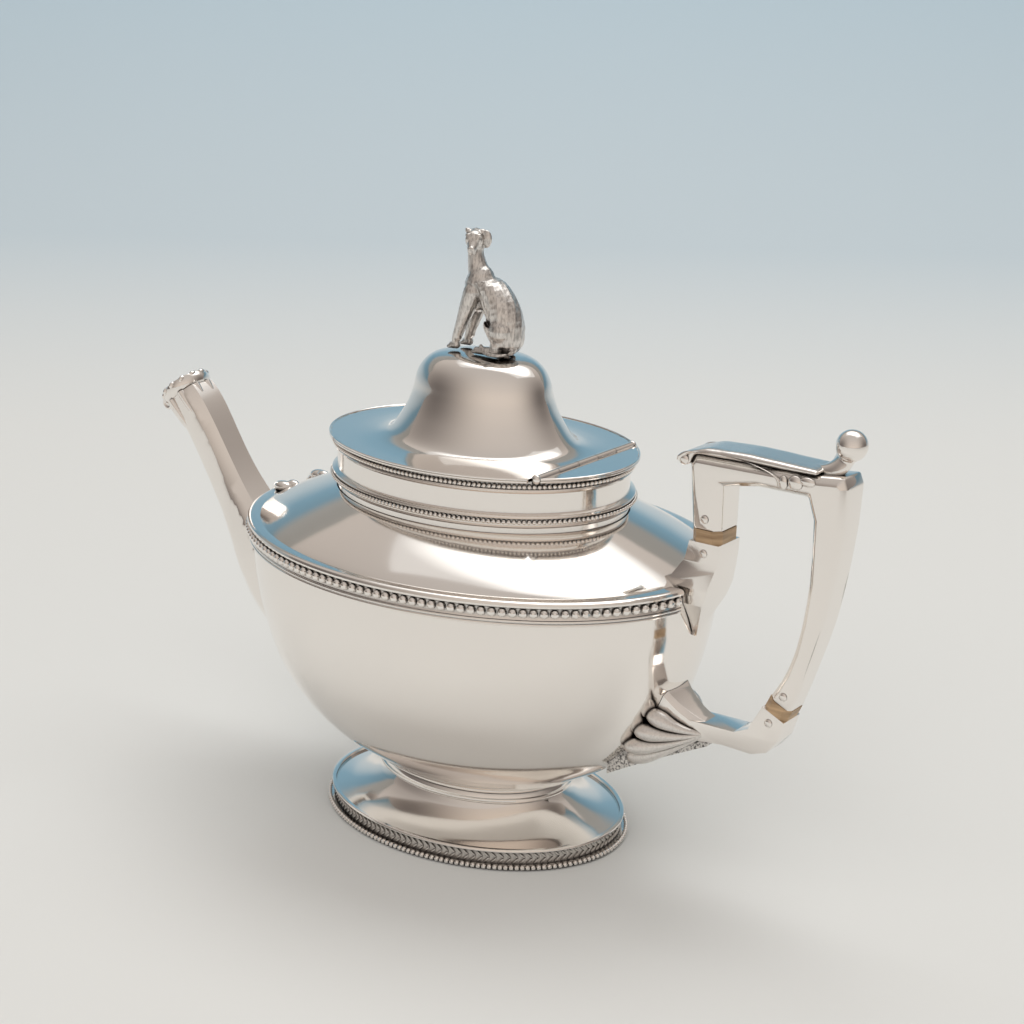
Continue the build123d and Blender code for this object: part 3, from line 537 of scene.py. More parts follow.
# strength of the tool marks, reach of the oxide and painted shade, stretch of the marks, share of grime
CAST = {
    "chased": (0.2, 1.4, (1, 1, 1), 0.12),
    "dark_ground": (0.3, 6.0, (1, 1, 1), 0.95),
    "hound_silver": (0.45, 3.4, (1, 1, 0.3), 0.4),
}


def finish_named(kind):
    """A finish of the pot, made once and then shared."""
    known = bpy.data.materials.get(kind)
    if known:
        return known
    finish = bpy.context.scene.teapot_finish
    if kind in POLISHED:
        return polished_silver(kind, finish, *POLISHED[kind])
    if kind in CAST:
        return brushed_silver(kind, finish, *CAST[kind])
    return {"leaf_grain": leaf_top_silver, "streaked_bone": streaky_bone}[kind](kind, finish)


# ------------------------------------------------------------------ outlines, as shares of their own node's box
BOWL_SHAPE = [
    (0.0, 0.0), (0.2, 0.0035), (0.378, 0.041), (0.563, 0.149), (0.692, 0.231), (0.805, 0.344),
    (0.895, 0.484), (0.952, 0.648), (0.988, 0.822), (1.0, 1.0),
]
SHOULDER_SHAPE = [
    (1.0, 0.0), (0.974, 0.188), (0.913, 0.38), (0.818, 0.612), (0.705, 0.85), (0.626, 1.0),
]
FOOT_SHAPE = [(1.0, 0.0), (0.877, 0.138), (0.763, 0.402), (0.681, 0.713), (0.636, 1.0)]
LID_SHAPE = [
    (1.0, 0.029), (0.79, 0.031), (0.66, 0.054), (0.59, 0.125), (0.507, 0.338), (0.459, 0.534),
    (0.431, 0.729), (0.383, 0.865), (0.308, 0.952), (0.187, 0.99), (0.0, 1.0),
]
WALL = 1.0  # millimetres
LID_WALL = 0.9
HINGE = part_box("hinge_pin")
HINGE_X = (HINGE[0].x + HINGE[1].x) / 2 / MM
HINGE_Z = (HINGE[0].z + HINGE[1].z) / 2 / MM
PLATE_TO_AXIS = 1.65
LID_EDGE_X = HINGE_X - PLATE_TO_AXIS
LEAF_EDGE_X = HINGE_X + PLATE_TO_AXIS


def shaped(shares, half, low, high, steps=6):
    """An outline in millimetres from its shares of a half length and a height."""
    return smooth_line([(half * across, low + (high - low) * up) for across, up in shares], steps)


class TEAPOT_PG_sizes(bpy.types.PropertyGroup):
    foot_beads: IntProperty(name="Foot beads", description="Beads round the foot", default=172, min=20)
    girdle_beads: IntProperty(name="Girdle beads", description="Beads round the girdle", default=150, min=20)
    neck_beads: IntProperty(name="Neck beads", description="Beads in each neck row", default=190, min=20)
    wheat_ears: IntProperty(name="Wheat ears", description="Grain pairs chased round the foot", default=128, min=20)
    girdle_bead_size: FloatProperty(
        name="Girdle bead", description="Radius of a girdle bead", default=1.42 * MM, subtype="DISTANCE")
    neck_bead_size: FloatProperty(
        name="Neck bead", description="Radius of a neck bead", default=0.74 * MM, subtype="DISTANCE")
    foot_bead_size: FloatProperty(
        name="Foot bead", description="Radius of a foot bead", default=0.92 * MM, subtype="DISTANCE")


class TEAPOT_PG_finish(bpy.types.PropertyGroup):
    silver: FloatVectorProperty(
        name="Silver", description="Colour of the clean silver", subtype="COLOR", default=(0.93, 0.89, 0.85))
    # colour of the oxide in the hollows and of the dark tool marks, also used for the painted shade in the recesses
    oxide_and_shade: FloatVectorProperty(
        name="Oxide", description="Colour of the dark oxide", subtype="COLOR", default=(0.05, 0.045, 0.045))
    polish: FloatProperty(name="Polish", description="Roughness of polished silver", default=0.07, min=0, max=1)
    bone: FloatVectorProperty(
        name="Bone", description="Colour of the insulators", subtype="COLOR", default=(0.46, 0.32, 0.19))
    bone_dark: FloatVectorProperty(
        name="Bone streak", description="Colour of the dark streaks", subtype="COLOR", default=(0.27, 0.17, 0.09))


class TEAPOT_PG_studio(bpy.types.PropertyGroup):
    floor: FloatVectorProperty(
        name="Floor", description="Colour of the floor", subtype="COLOR", default=(0.72, 0.735, 0.725))
    sky: FloatVectorProperty(
        name="Backdrop", description="Colour high on the backdrop", subtype="COLOR", default=(0.24, 0.43, 0.58))
    key_power: FloatProperty(name="Key light", description="Power of the overhead softbox", default=15.0, unit="POWER")
    fill_power: FloatProperty(name="Fill light", description="Power of the front fill", default=20.0, unit="POWER")


class TeapotOperator(bpy.types.Operator):
    """Shared settings of the teapot's operators"""

    bl_options = {"REGISTER", "UNDO"}


class TEAPOT_OT_foot(TeapotOperator):
    """Turns the foot, with its chased band, rim and bead row"""

    bl_idname = "teapot.foot"
    bl_label = "Foot"

    def execute(self, context):
        sizes = context.scene.teapot_sizes
        low, high = heights("foot_shell")
        line = shaped(FOOT_SHAPE, half_of("foot_shell"), low, high, 10)
        dress(turn_oval("foot_cone", walled(line, WALL)), "pot", "polished_sheet", "foot_shell")
        waist_low, waist_high = heights("waist_ring")
        waist = half_of("waist_ring")
        ring = turn_oval("waist_rings", [
            (waist - 4.4, waist_low), (waist - 1.5, waist_low), (waist - 0.9, waist_low + 0.3),
            (waist - 0.6, waist_low + 0.7), (waist - 0.1, waist_low + 0.9), (waist, waist_low + 1.3),
            (waist - 0.2, waist_low + 1.8), (waist - 0.8, waist_low + 2.1), (waist - 0.9, waist_low + 2.5),
            (waist - 1.5, waist_high), (waist - 4.4, waist_high - 1.6),
        ])
        dress(ring, "pot", "polished_casting", "waist_ring")
        rim_low, rim_high = heights("foot_rim_ring")
        rim = half_of("foot_rim_ring")
        edge = turn_oval("foot_rim_wire", [
            (rim - 1.7, rim_low), (rim - 0.5, rim_low), (rim - 0.15, rim_low + 0.2), (rim, rim_low + 0.55),
            (rim - 0.15, rim_low + 0.9), (rim - 0.5, rim_high), (rim - 1.7, rim_high),
        ])
        dress(edge, "pot", "polished_sheet", "foot_rim_ring")
        band_low, band_high = heights("foot_chased_band")
        band_half = half_of("foot_chased_band")
        band = turn_oval("foot_band", [
            (band_half - 1.0, band_low), (band_half - 0.35, band_low), (band_half - 0.35, band_high),
            (band_half - 1.0, band_high)])
        grains = []
        for side in (1, -1):
            grain = ball("grain", (0.6, 0.42, 1.35), segments=6, rings=6)
            grain.rotation_euler = (side * math.radians(48), 0, 0)
            bpy.ops.object.transform_apply()
            grain.location.z = side * 0.95 * MM
            grains.append(grain)
        pair = join("ear", grains)
        bpy.ops.object.transform_apply()
        ears = row_of("ears", pair, band_half - 0.3, (band_low + band_high) / 2, sizes.wheat_ears)
        chased = join("foot_wheat_band", [band, ears])
        dress(chased, "pot", "chased", "foot_chased_band")
        bead_row("foot_bead_wire", "foot_beads", sizes.foot_bead_size, sizes.foot_beads)
        return {"FINISHED"}


STRAINER_Z = 60.1
STRAINER_PITCH = 5.0
STRAINER_HOLE = 1.25


class TEAPOT_OT_body(TeapotOperator):
    """Turns the bowl, pierced behind the spout, and the shoulder"""

    bl_idname = "teapot.body"
    bl_label = "Bowl and shoulder"

    def execute(self, context):
        low, high = heights("bowl")
        line = shaped(BOWL_SHAPE, half_of("bowl"), low, high, 7)
        bowl = turn_oval("bowl_body", walled(line, WALL))
        half = half_of("bowl")
        holes = []
        for across in (-1, 0, 1):
            for up in (-1, 0, 1):
                clear_selection()
                place = ((-half + 8) * MM, across * STRAINER_PITCH * MM, (STRAINER_Z + up * STRAINER_PITCH) * MM)
                bpy.ops.mesh.primitive_cylinder_add(
                    vertices=16, radius=STRAINER_HOLE * MM, depth=24 * MM, location=place, rotation=(0, math.pi / 2, 0))
                holes.append(started("strainer_hole"))
        cut_with(bowl, [join("strainer_holes", holes)])
        dress(bowl, "pot", "polished_sheet", "bowl")
        low, high = heights("shoulder")
        line = shaped(SHOULDER_SHAPE, half_of("shoulder"), low, high, 8)
        dress(turn_oval("shoulder_sheet", walled(line, WALL)), "pot", "polished_sheet", "shoulder")
        return {"FINISHED"}


SPOUT_GAP = 8.5
SOCKET_GAP = 9.6


def outside_gaps(x, y):
    """True where the girdle runs on, clear of the spout and the handle socket."""
    return abs(y) > (SPOUT_GAP if x < 0 else SOCKET_GAP) + 0.8


class TEAPOT_OT_girdle(TeapotOperator):
    """Turns the girdle with its reeds, wire and beads, and its leaf ends beside the spout"""

    bl_idname = "teapot.girdle"
    bl_label = "Girdle"

    def execute(self, context):
        sizes = context.scene.teapot_sizes
        low, high = heights("girdle_band")
        inner = half_of("bowl") + 0.05
        out = inner + 0.7
        arc = [math.radians(a) for a in (-75, -40, 0, 40, 75)]
        reeds = []
        for middle in (low + 0.6, low + 1.7):
            reeds += [(out + 0.62 * math.cos(a), middle + 0.5 * math.sin(a)) for a in arc]
        wire_z = high - 1.15
        wire = [(out + 0.1 + 1.15 * math.cos(a), wire_z + 1.1 * math.sin(a)) for a in arc]
        section = [(inner, low), (out, low), *reeds, (out, low + 2.5), (out, wire_z - 1.2), *wire,
                   (out - 0.5, high), (inner - 3.3, high), (inner - 2.4, high - 0.7), (inner - 0.8, high - 2.2),
                   (inner, high - 3.7)]
        band = turn_oval("girdle_bands", section)
        edge = inner - 14
        reach = inner + 8
        cut_with(band, [
            cutter_box((-reach, -SPOUT_GAP, low - 4), (-edge, SPOUT_GAP, high + 4)),
            cutter_box((edge, -SOCKET_GAP, low - 4), (reach, SOCKET_GAP, high + 4)),
        ])
        dress(band, "pot", "girdle_channel", "girdle_band")
        bead_row("girdle_bead_wire", "girdle_beads", sizes.girdle_bead_size, sizes.girdle_beads,
                 half_of("bowl") + 2.6, 10, 7, outside_gaps)
        for side, word in ((-1, "near"), (1, "far")):
            x = -(half_of("bowl") - 2.2)
            y = side * (SPOUT_GAP + 1.2)
            shell = ball("shell", (4.2, 2.6, 2.0), (x + 2.4, y, high + 1.6), 16, 10)
            fold = ball("fold", (2.6, 1.9, 1.6), (x + 5.6, y - side * 1.6, high + 2.6), 12, 8)
            curl = ball("curl", (2.2, 1.6, 3.0), (x - 0.8, y - side * 0.6, high - 1.6), 12, 8)
            tip = join(f"girdle_shell_{word}", [shell, fold, curl])
            melt(tip, 0.25, 6, 0.6)
            dress(tip, "pot", "polished_casting", smooth=math.radians(60))
        return {"FINISHED"}


class TEAPOT_OT_neck(TeapotOperator):
    """Turns the collar, its mouldings and both bead rows"""

    bl_idname = "teapot.neck"
    bl_label = "Neck"

    def execute(self, context):
        sizes = context.scene.teapot_sizes
        low, high = heights("neck_collar")
        half = half_of("neck_collar")
        wall = [(half - WALL, low), (half, low), (half, high), (half - WALL, high)]
        dress(turn_oval("neck_wall", wall), "pot", "polished_casting", "neck_collar")
        for word in ("lower", "upper"):
            node = f"neck_{word}_moulding"
            low, high = heights(node)
            out = half_of(node) - 0.55
            arc = [math.radians(a) for a in (-80, -45, 0, 45, 80)]
            wire_z = high - 1.1 if word == "lower" else low + 1.1
            wire = [(out + 0.55 * math.cos(a), wire_z + 0.55 * math.sin(a)) for a in arc]
            if word == "lower":
                section = [(half, low), (half + 1.0, low + 0.7), (out - 0.1, low + 1.4), (out - 0.1, wire_z - 0.6),
                           *wire, (half, high)]
            else:
                section = [(half, low), *wire, (out - 0.1, wire_z + 0.6), (out - 0.1, high), (half, high)]
            dress(turn_oval(f"neck_{word}_strip", section), "pot", "girdle_channel", node)
            bead_row(f"neck_{word}_bead_wire", f"neck_{word}_beads", sizes.neck_bead_size, sizes.neck_beads)
        return {"FINISHED"}


class TEAPOT_OT_lid(TeapotOperator):
    """Turns the hat-shaped lid and its edge wires, and rounds the hinge's end buttons"""

    bl_idname = "teapot.lid"
    bl_label = "Lid and hinge"

    def execute(self, context):
        low, high = heights("lid_shell")
        half = -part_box("lid_shell")[0].x / MM
        line = shaped(LID_SHAPE, half, low, high, 8)
        lid = turn_oval("lid_hat", walled(line, LID_WALL))
        split_at(lid, LID_EDGE_X, True)
        clear_selection()
        bpy.ops.mesh.primitive_cylinder_add(vertices=20, radius=MM, depth=8 * MM, location=(-2 * MM, 0, high * MM))
        cut_with(lid, [started("vent")])
        dress(lid, "lid", "polished_sheet", "lid_shell")
        for node, name, body, keep_low, x in (
            ("lid_edge_wire", "lid_double_wire", "lid", True, LID_EDGE_X),
            ("leaf_edge_wire", "leaf_double_wire", "pot", False, LEAF_EDGE_X),
        ):
            middle = sum(heights(node)) / 2
            wires = [turn_oval(name, round_section(half + 0.15, middle + up, 0.42)) for up in (-0.36, 0.36)]
            wire = join(name, wires)
            split_at(wire, x, keep_low)
            dress(wire, body, "girdle_channel", node)
        low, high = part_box("hinge_pin_caps")
        buttons = []
        for y, side in ((low.y / MM, -1), (high.y / MM, 1)):
            buttons.append(ball("button", (1.6, 1.25, 1.6), (HINGE_X, y - side * 0.9, HINGE_Z), 24, 12))
            buttons.append(ball("button_collar", (1.45, 0.6, 1.45), (HINGE_X, y - side * 1.2, HINGE_Z), 20, 8))
        dress(join("hinge_buttons", buttons), "pot", "polished_casting", "hinge_pin_caps")
        return {"FINISHED"}


HOUND_LIMBS = {
    "haunch": [(9.4, 0, 6.0, 5.9), (8.7, 0, 12.0, 6.0), (6.2, 0, 18.0, 5.8), (2.0, 0, 23.0, 5.2), (-1.6, 0, 24.4, 4.5)],
    "neck": [(-0.8, 0, 22.6, 4.7), (-2.6, 0, 26.2, 3.7), (-3.8, 0, 30.0, 3.1), (-4.2, 0, 34.2, 2.9)],
    "chest": [(-1.8, 0, 23.0, 4.9), (-3.6, 0, 19.4, 4.5), (-2.6, 0, 16.2, 3.4)],
    "belly": [(2.5, 0, 20.0, 4.6), (6.4, 0, 13.5, 5.0)],
    "tail": [(12.6, 0, 3.6, 1.3), (13.4, -3.2, 1.6, 1.0), (11.2, -6.0, 1.1, 0.85), (7.4, -6.9, 1.1, 0.8),
             (4.2, -6.3, 1.6, 0.75), (2.8, -5.4, 3.0, 0.7)],
}
HOUND_PAIRS = {
    "foreleg": [(-2.8, 2.7, 20.0, 3.3), (-4.8, 3.1, 14.4, 2.8), (-6.8, 3.4, 9.0, 2.1), (-8.4, 3.5, 5.0, 1.7),
                (-9.2, 3.5, 2.8, 1.4)],
    "forepaw": [(-8.8, 3.5, 1.6, 1.4), (-10.6, 3.6, 1.3, 1.2)],
    "thigh": [(9.2, 2.6, 8.6, 4.7), (6.6, 3.6, 11.6, 3.2), (5.4, 4.0, 8.0, 2.4), (8.0, 4.2, 3.4, 2.1)],
    "hindfoot": [(8.4, 4.6, 1.7, 1.6), (4.0, 4.9, 1.5, 1.4), (0.8, 5.0, 1.3, 1.25)],
}
HEAD_X = -4.2  # the head's own axis
HEAD_TURN = math.radians(24)  # the head looks sideways and a little back
HEAD_BARS = {
    "skull": [(0, 0.6, 37.2, 3.3), (0, -1.4, 36.9, 3.2)],
    "snout": [(0, -2.4, 36.2, 2.5), (0, -4.2, 34.9, 1.8), (0, -5.4, 34.0, 1.45)],
    "ear_up": [(-2.0, -0.4, 39.0, 1.2), (-2.7, -0.6, 40.0, 0.85), (-2.9, -0.8, 40.25, 0.4)],
}
HEAD_BALLS = (
    ((1.3, 0.9, 0.7), (-1.5, -3.1, 38.5)), ((1.3, 0.9, 0.7), (1.5, -3.1, 38.5)),
    ((0.95, 0.7, 0.95), (-1.6, -3.7, 37.3)), ((0.95, 0.7, 0.95), (1.6, -3.7, 37.3)),
    ((1.25, 0.7, 0.8), (0, -6.3, 34.6)), ((1.2, 2.0, 0.6), (0, -4.9, 32.9)),
    ((1.9, 1.0, 3.0), (3.6, 0.2, 37.0)), ((1.6, 1.2, 1.1), (2.2, 0, 39.3)),
)


def head_point(x, y, z, crown):
    """A point of the head, turned about the neck."""
    c, s = math.cos(HEAD_TURN), math.sin(HEAD_TURN)
    return (HEAD_X + x * c - y * s, x * s + y * c, z + crown)


class TEAPOT_OT_hound(TeapotOperator):
    """Models the seated hound on the lid, its head turned to the side"""

    bl_idname = "teapot.hound"
    bl_label = "Hound finial"

    def execute(self, context):
        crown = heights("lid_shell")[1]
        bars = [
            [(x, y * side, z + crown, r) for x, y, z, r in stations]
            for group, sides in ((HOUND_LIMBS, (1,)), (HOUND_PAIRS, (-1, 1)))
            for stations in group.values()
            for side in sides
        ]
        bars += [[(*head_point(x, y, z, crown), r) for x, y, z, r in stations] for stations in HEAD_BARS.values()]
        parts = []
        for stations in bars:
            fine = smooth_line(stations, 3)
            parts.append(tube_along("limb", fine, 12))
            for x, y, z, r in (fine[0], fine[-1]):
                parts.append(ball("joint", (r, r, r), (x, y, z), 12, 8))
        for size, place in HEAD_BALLS:
            lump = ball("lump", size, head_point(*place, crown), 12, 8)
            lump.rotation_euler = (0, 0, HEAD_TURN)
            parts.append(lump)
        for side in (-1, 1):
            parts.append(ball("wrist", (1.7, 1.6, 1.6), (-8.4, 3.6 * side, crown + 4.4), 12, 8))
            for toe in (-1, 0, 1):
                parts.append(ball("toe", (1.2, 0.5, 0.6), (-11.2, (3.6 + 0.8 * toe) * side, crown + 0.85), 8, 6))
                parts.append(ball("toe", (1.2, 0.5, 0.6), (0.2, (5.0 + 0.8 * toe) * side, crown + 0.85), 8, 6))
        hound = join("seated_hound", parts)
        melt(hound, 0.24, 3)
        cut_with(hound, [cutter_box((-30, -30, crown - 20), (30, 30, crown + 0.3))])
        dress(hound, "lid", "hound_silver", "finial_hound", smooth=math.radians(75))
        return {"FINISHED"}


SPOUT_RUN = (-0.655, 0, 0.756)  # the way the spout's mouth points


class TEAPOT_OT_spout(TeapotOperator):
    """Smooths the spout and adds its lobed lip, scrolls and leaf flutes"""

    bl_idname = "teapot.spout"
    bl_label = "Spout"

    def execute(self, context):
        spout = merged_copy("spout_body", "spout_tube", 0.0, flat_angle=0)
        dress(spout, "pot", "polished_casting", "spout_body", smooth=math.radians(50))
        lip = merged_copy("spout_lip", "spout_mouth", 0.35, flat_angle=0, sharp=40)
        low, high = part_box("spout_lip")
        centre = (low + high) / 2 / MM
        run = Vector(SPOUT_RUN)
        across = Vector((run.z, 0, -run.x))
        sprays = []
        for step in range(12):
            turn = 2 * math.pi * (step + 0.5) / 12
            place = centre + run * 1.0 + across * (8.3 * math.cos(turn)) + Vector((0, 8.3 * math.sin(turn), 0))
            sprays.append(ball("lobe", (1.15, 2.0, 1.6), tuple(place), 12, 8))
        for side in (-1, 1):
            place = centre - across * 8.8 + Vector((0, side * 3.8, 0)) - run * 0.8
            clear_selection()
            bpy.ops.mesh.primitive_torus_add(
                major_radius=1.9 * MM, minor_radius=0.75 * MM, major_segments=28, minor_segments=12,
                location=place * MM, rotation=(math.pi / 2, 0, 0))
            sprays.append(started("curl"))
            sprays.append(ball("curl_eye", (0.9, 1.1, 0.9), tuple(place), 12, 8))
        work = melt(join("spout_lobes", sprays), 0.3, 4)
        settle(work, math.radians(70))
        clear_selection()
        bpy.ops.mesh.primitive_cylinder_add(vertices=32, radius=7 * MM, depth=30 * MM, location=centre * MM)
        bore = started("bore")
        bore.rotation_euler = (0, math.atan2(run.x, run.z), 0)
        bpy.ops.object.transform_apply()
        cut_with(work, [bore])
        dress(lip, "pot", "polished_casting", "spout_lip")
        dress(work, "pot", "polished_casting", smooth=math.radians(70))
        leaves = []
        for turn in (-150, -110, -65, -20, 20, 65, 110, 150):
            angle = math.radians(turn)
            out = across * (8.0 * math.cos(angle)) + Vector((0, 8.2 * math.sin(angle), 0))
            head = centre - run * 2.6 + out
            stations = []
            for share, radius in ((0, 1.5), (0.3, 1.4), (0.65, 1.0), (1, 0.3)):
                point = head - run * (13 * share) - out * (0.07 * share)
                stations.append((*point, radius))
            leaves.append(tube_along("leaf_rib", smooth_line(stations, 3), 10))
        dress(join("spout_flutes", leaves), "pot", "polished_casting", smooth=math.radians(60))
        return {"FINISHED"}


class TEAPOT_OT_handle(TeapotOperator):
    """Softens the handle's edges and rounds its pins"""

    bl_idname = "teapot.handle"
    bl_label = "Handle"

    def execute(self, context):
        for node, name, width in (
            ("handle_grip", "handle_bar", 0.7),
            ("handle_upper_socket", "handle_upper_root", 0.6),
            ("handle_lower_socket", "handle_lower_root", 0.7),
        ):
            piece = merged_copy(node, name, width, flat_angle=3.0, sharp=18)
            dress(piece, "pot", "polished_casting", node, smooth=math.radians(35))
        heads = []
        for x, z, half in PINS:
            for side in (-1, 1):
                heads.append(ball("pin_head", (1.35, 0.55, 1.35), (x, side * half, z), 16, 8))
        dress(join("pin_heads", heads), "pot", "beading")
        return {"FINISHED"}


# radius along a lobe, from its rounded foot to the tip, and where each foot stands from the tip
FAN_LOBE = ((0, 1.2), (0.06, 2.4), (0.22, 2.9), (0.45, 2.0), (0.7, 1.2), (0.9, 0.9), (1, 0.9))
FAN_FEET = ((17.0, 11.6, 8.0), (20.5, 13.6, 2.0), (24.0, 14.0, -4.5), (25.5, 9.5, -10.5))


class TEAPOT_OT_fan(TeapotOperator):
    """Models the fan of veined lobes under the lower socket"""

    bl_idname = "teapot.fan"
    bl_label = "Fan palmette"

    def execute(self, context):
        base = merged_copy("fan_palmette", "fan_back", 0.3, flat_angle=2.0, sharp=35)
        dress(base, "pot", "dark_ground", "fan_palmette")
        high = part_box("fan_palmette")[1] / MM
        lobes = []
        for side in (-1, 1):
            tip = Vector((high.x, side * 4.0, high.z + 2.6))
            for back, out, up in FAN_FEET:
                foot = Vector((high.x - back, side * out, high.z + up))
                stations = []
                for share, radius in FAN_LOBE:
                    point = foot.lerp(tip, share)
                    sag = 1.6 * math.sin(math.pi * share)
                    stations.append((point.x, point.y, point.z - sag, radius))
                lobes.append(tube_along("lobe", smooth_line(stations, 4), 12))
        dress(join("fan_lobes", lobes), "pot", "chased", smooth=math.radians(60))
        return {"FINISHED"}


KNOB_R = 4.9
# x from the leaf's front, drop from its top and half sizes of each hanging lobe
LEAF_LOBES = ((37.0, 6.2, (1.5, 1.0, 2.2)), (41.0, 5.6, (2.5, 1.2, 2.3)), (45.0, 4.6, (2.6, 1.0, 1.5)))


class TEAPOT_OT_thumb_leaf(TeapotOperator):
    """Models the thumb leaf with its scroll, edge wire and hanging lobes, and the bud behind it"""

    bl_idname = "teapot.thumb_leaf"
    bl_label = "Thumb leaf"

    def execute(self, context):
        low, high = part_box("thumb_leaf")
        low, high = low / MM, high / MM
        leaf = merged_copy("thumb_leaf", "thumb_leaf_top", flat_angle=0)
        apply_modifier(leaf, "REMESH", mode="VOXEL", voxel_size=0.45 * MM)
        apply_modifier(leaf, "SMOOTH", factor=0.7, iterations=70)
        dress(leaf, "pot", "leaf_grain", "thumb_leaf", smooth=math.radians(80))
        edges = []
        for side in (-1, 1):
            y = side * (high.y - 0.35)
            edges.append(tube_along("edge", smooth_line([
                (low.x + 0.6, y, low.z + 2.0, 1.0), (low.x + 1.4, y, high.z - 4.2, 1.1),
                (low.x + 5.0, y, high.z - 2.4, 1.1), (low.x + 14.0, y, high.z - 1.7, 1.0),
                (low.x + 24.0, y, high.z - 2.2, 0.9), (low.x + 31.0, y, high.z - 3.6, 0.8),
                (low.x + 35.0, y, high.z - 5.4, 0.7), (low.x + 36.0, y, high.z - 7.4, 0.9)], 5), 12))
            for x, drop, size in LEAF_LOBES:
                edges.append(ball("lobe", size, (low.x + x, y, high.z - drop), 16, 10))
            edges.append(ball("scroll_eye", (1.7, 0.7, 1.7), (low.x + 2.4, side * high.y, low.z + 2.4), 16, 8))
        dress(join("thumb_leaf_trim", edges), "pot", "polished_casting", smooth=math.radians(60))
        knob_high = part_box("thumb_knob")[1] / MM
        x = knob_high.x - KNOB_R
        z = knob_high.z - KNOB_R
        bud = ball("bud", (KNOB_R, KNOB_R, KNOB_R), (x, 0, z), 40, 24)
        stem = tube_along("stem", smooth_line([
            (x - 13.0, 0, z - 9.8, 1.4), (x - 8.0, 0, z - 9.6, 2.8), (x - 4.6, 0, z - 7.8, 3.7),
            (x - 2.4, 0, z - 4.4, 4.2), (x - 0.8, 0, z - 0.6, 4.6)], 5), 20)
        knob = join("thumb_bud", [bud, stem])
        melt(knob, 0.3, 12, 0.6)
        dress(knob, "pot", "polished_casting", "thumb_knob", smooth=math.radians(70))
        return {"FINISHED"}


PLAIN_NODES = (
    "foot_base_ring", "neck_rim", "hinge_leaf", "fixed_knuckles", "hinge_pin", "insulator_pins",
    "lid_knuckles", "lid_bezel", "finial_stud", "finial_washer", "finial_nut",
)


class TEAPOT_OT_fixed_finish(TeapotOperator):
    """Gives the nodes that stay as they are their silver and bone finishes"""

    bl_idname = "teapot.fixed_finish"
    bl_label = "Finish of the fixed nodes"

    def execute(self, context):
        kinds = {node: "polished_casting" for node in PLAIN_NODES}
        kinds.update(upper_insulator="streaked_bone", lower_insulator="streaked_bone", hinge_leaf="polished_sheet")
        for node, kind in kinds.items():
            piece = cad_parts[node]
            piece.data.materials.clear()
            piece.data.materials.append(finish_named(kind))
        return {"FINISHED"}


# millimetres and degrees
CAMERA_PLACE = (391.1, -518.3, 307.8)
CAMERA_AIM = (8.5, 6.2, 109.9)
CAMERA_ROLL = 1.31
CAMERA_LENS = 70.33
VIEW_TURN = math.radians(36.1)  # the sweep and the lights face the camera's side of the pot


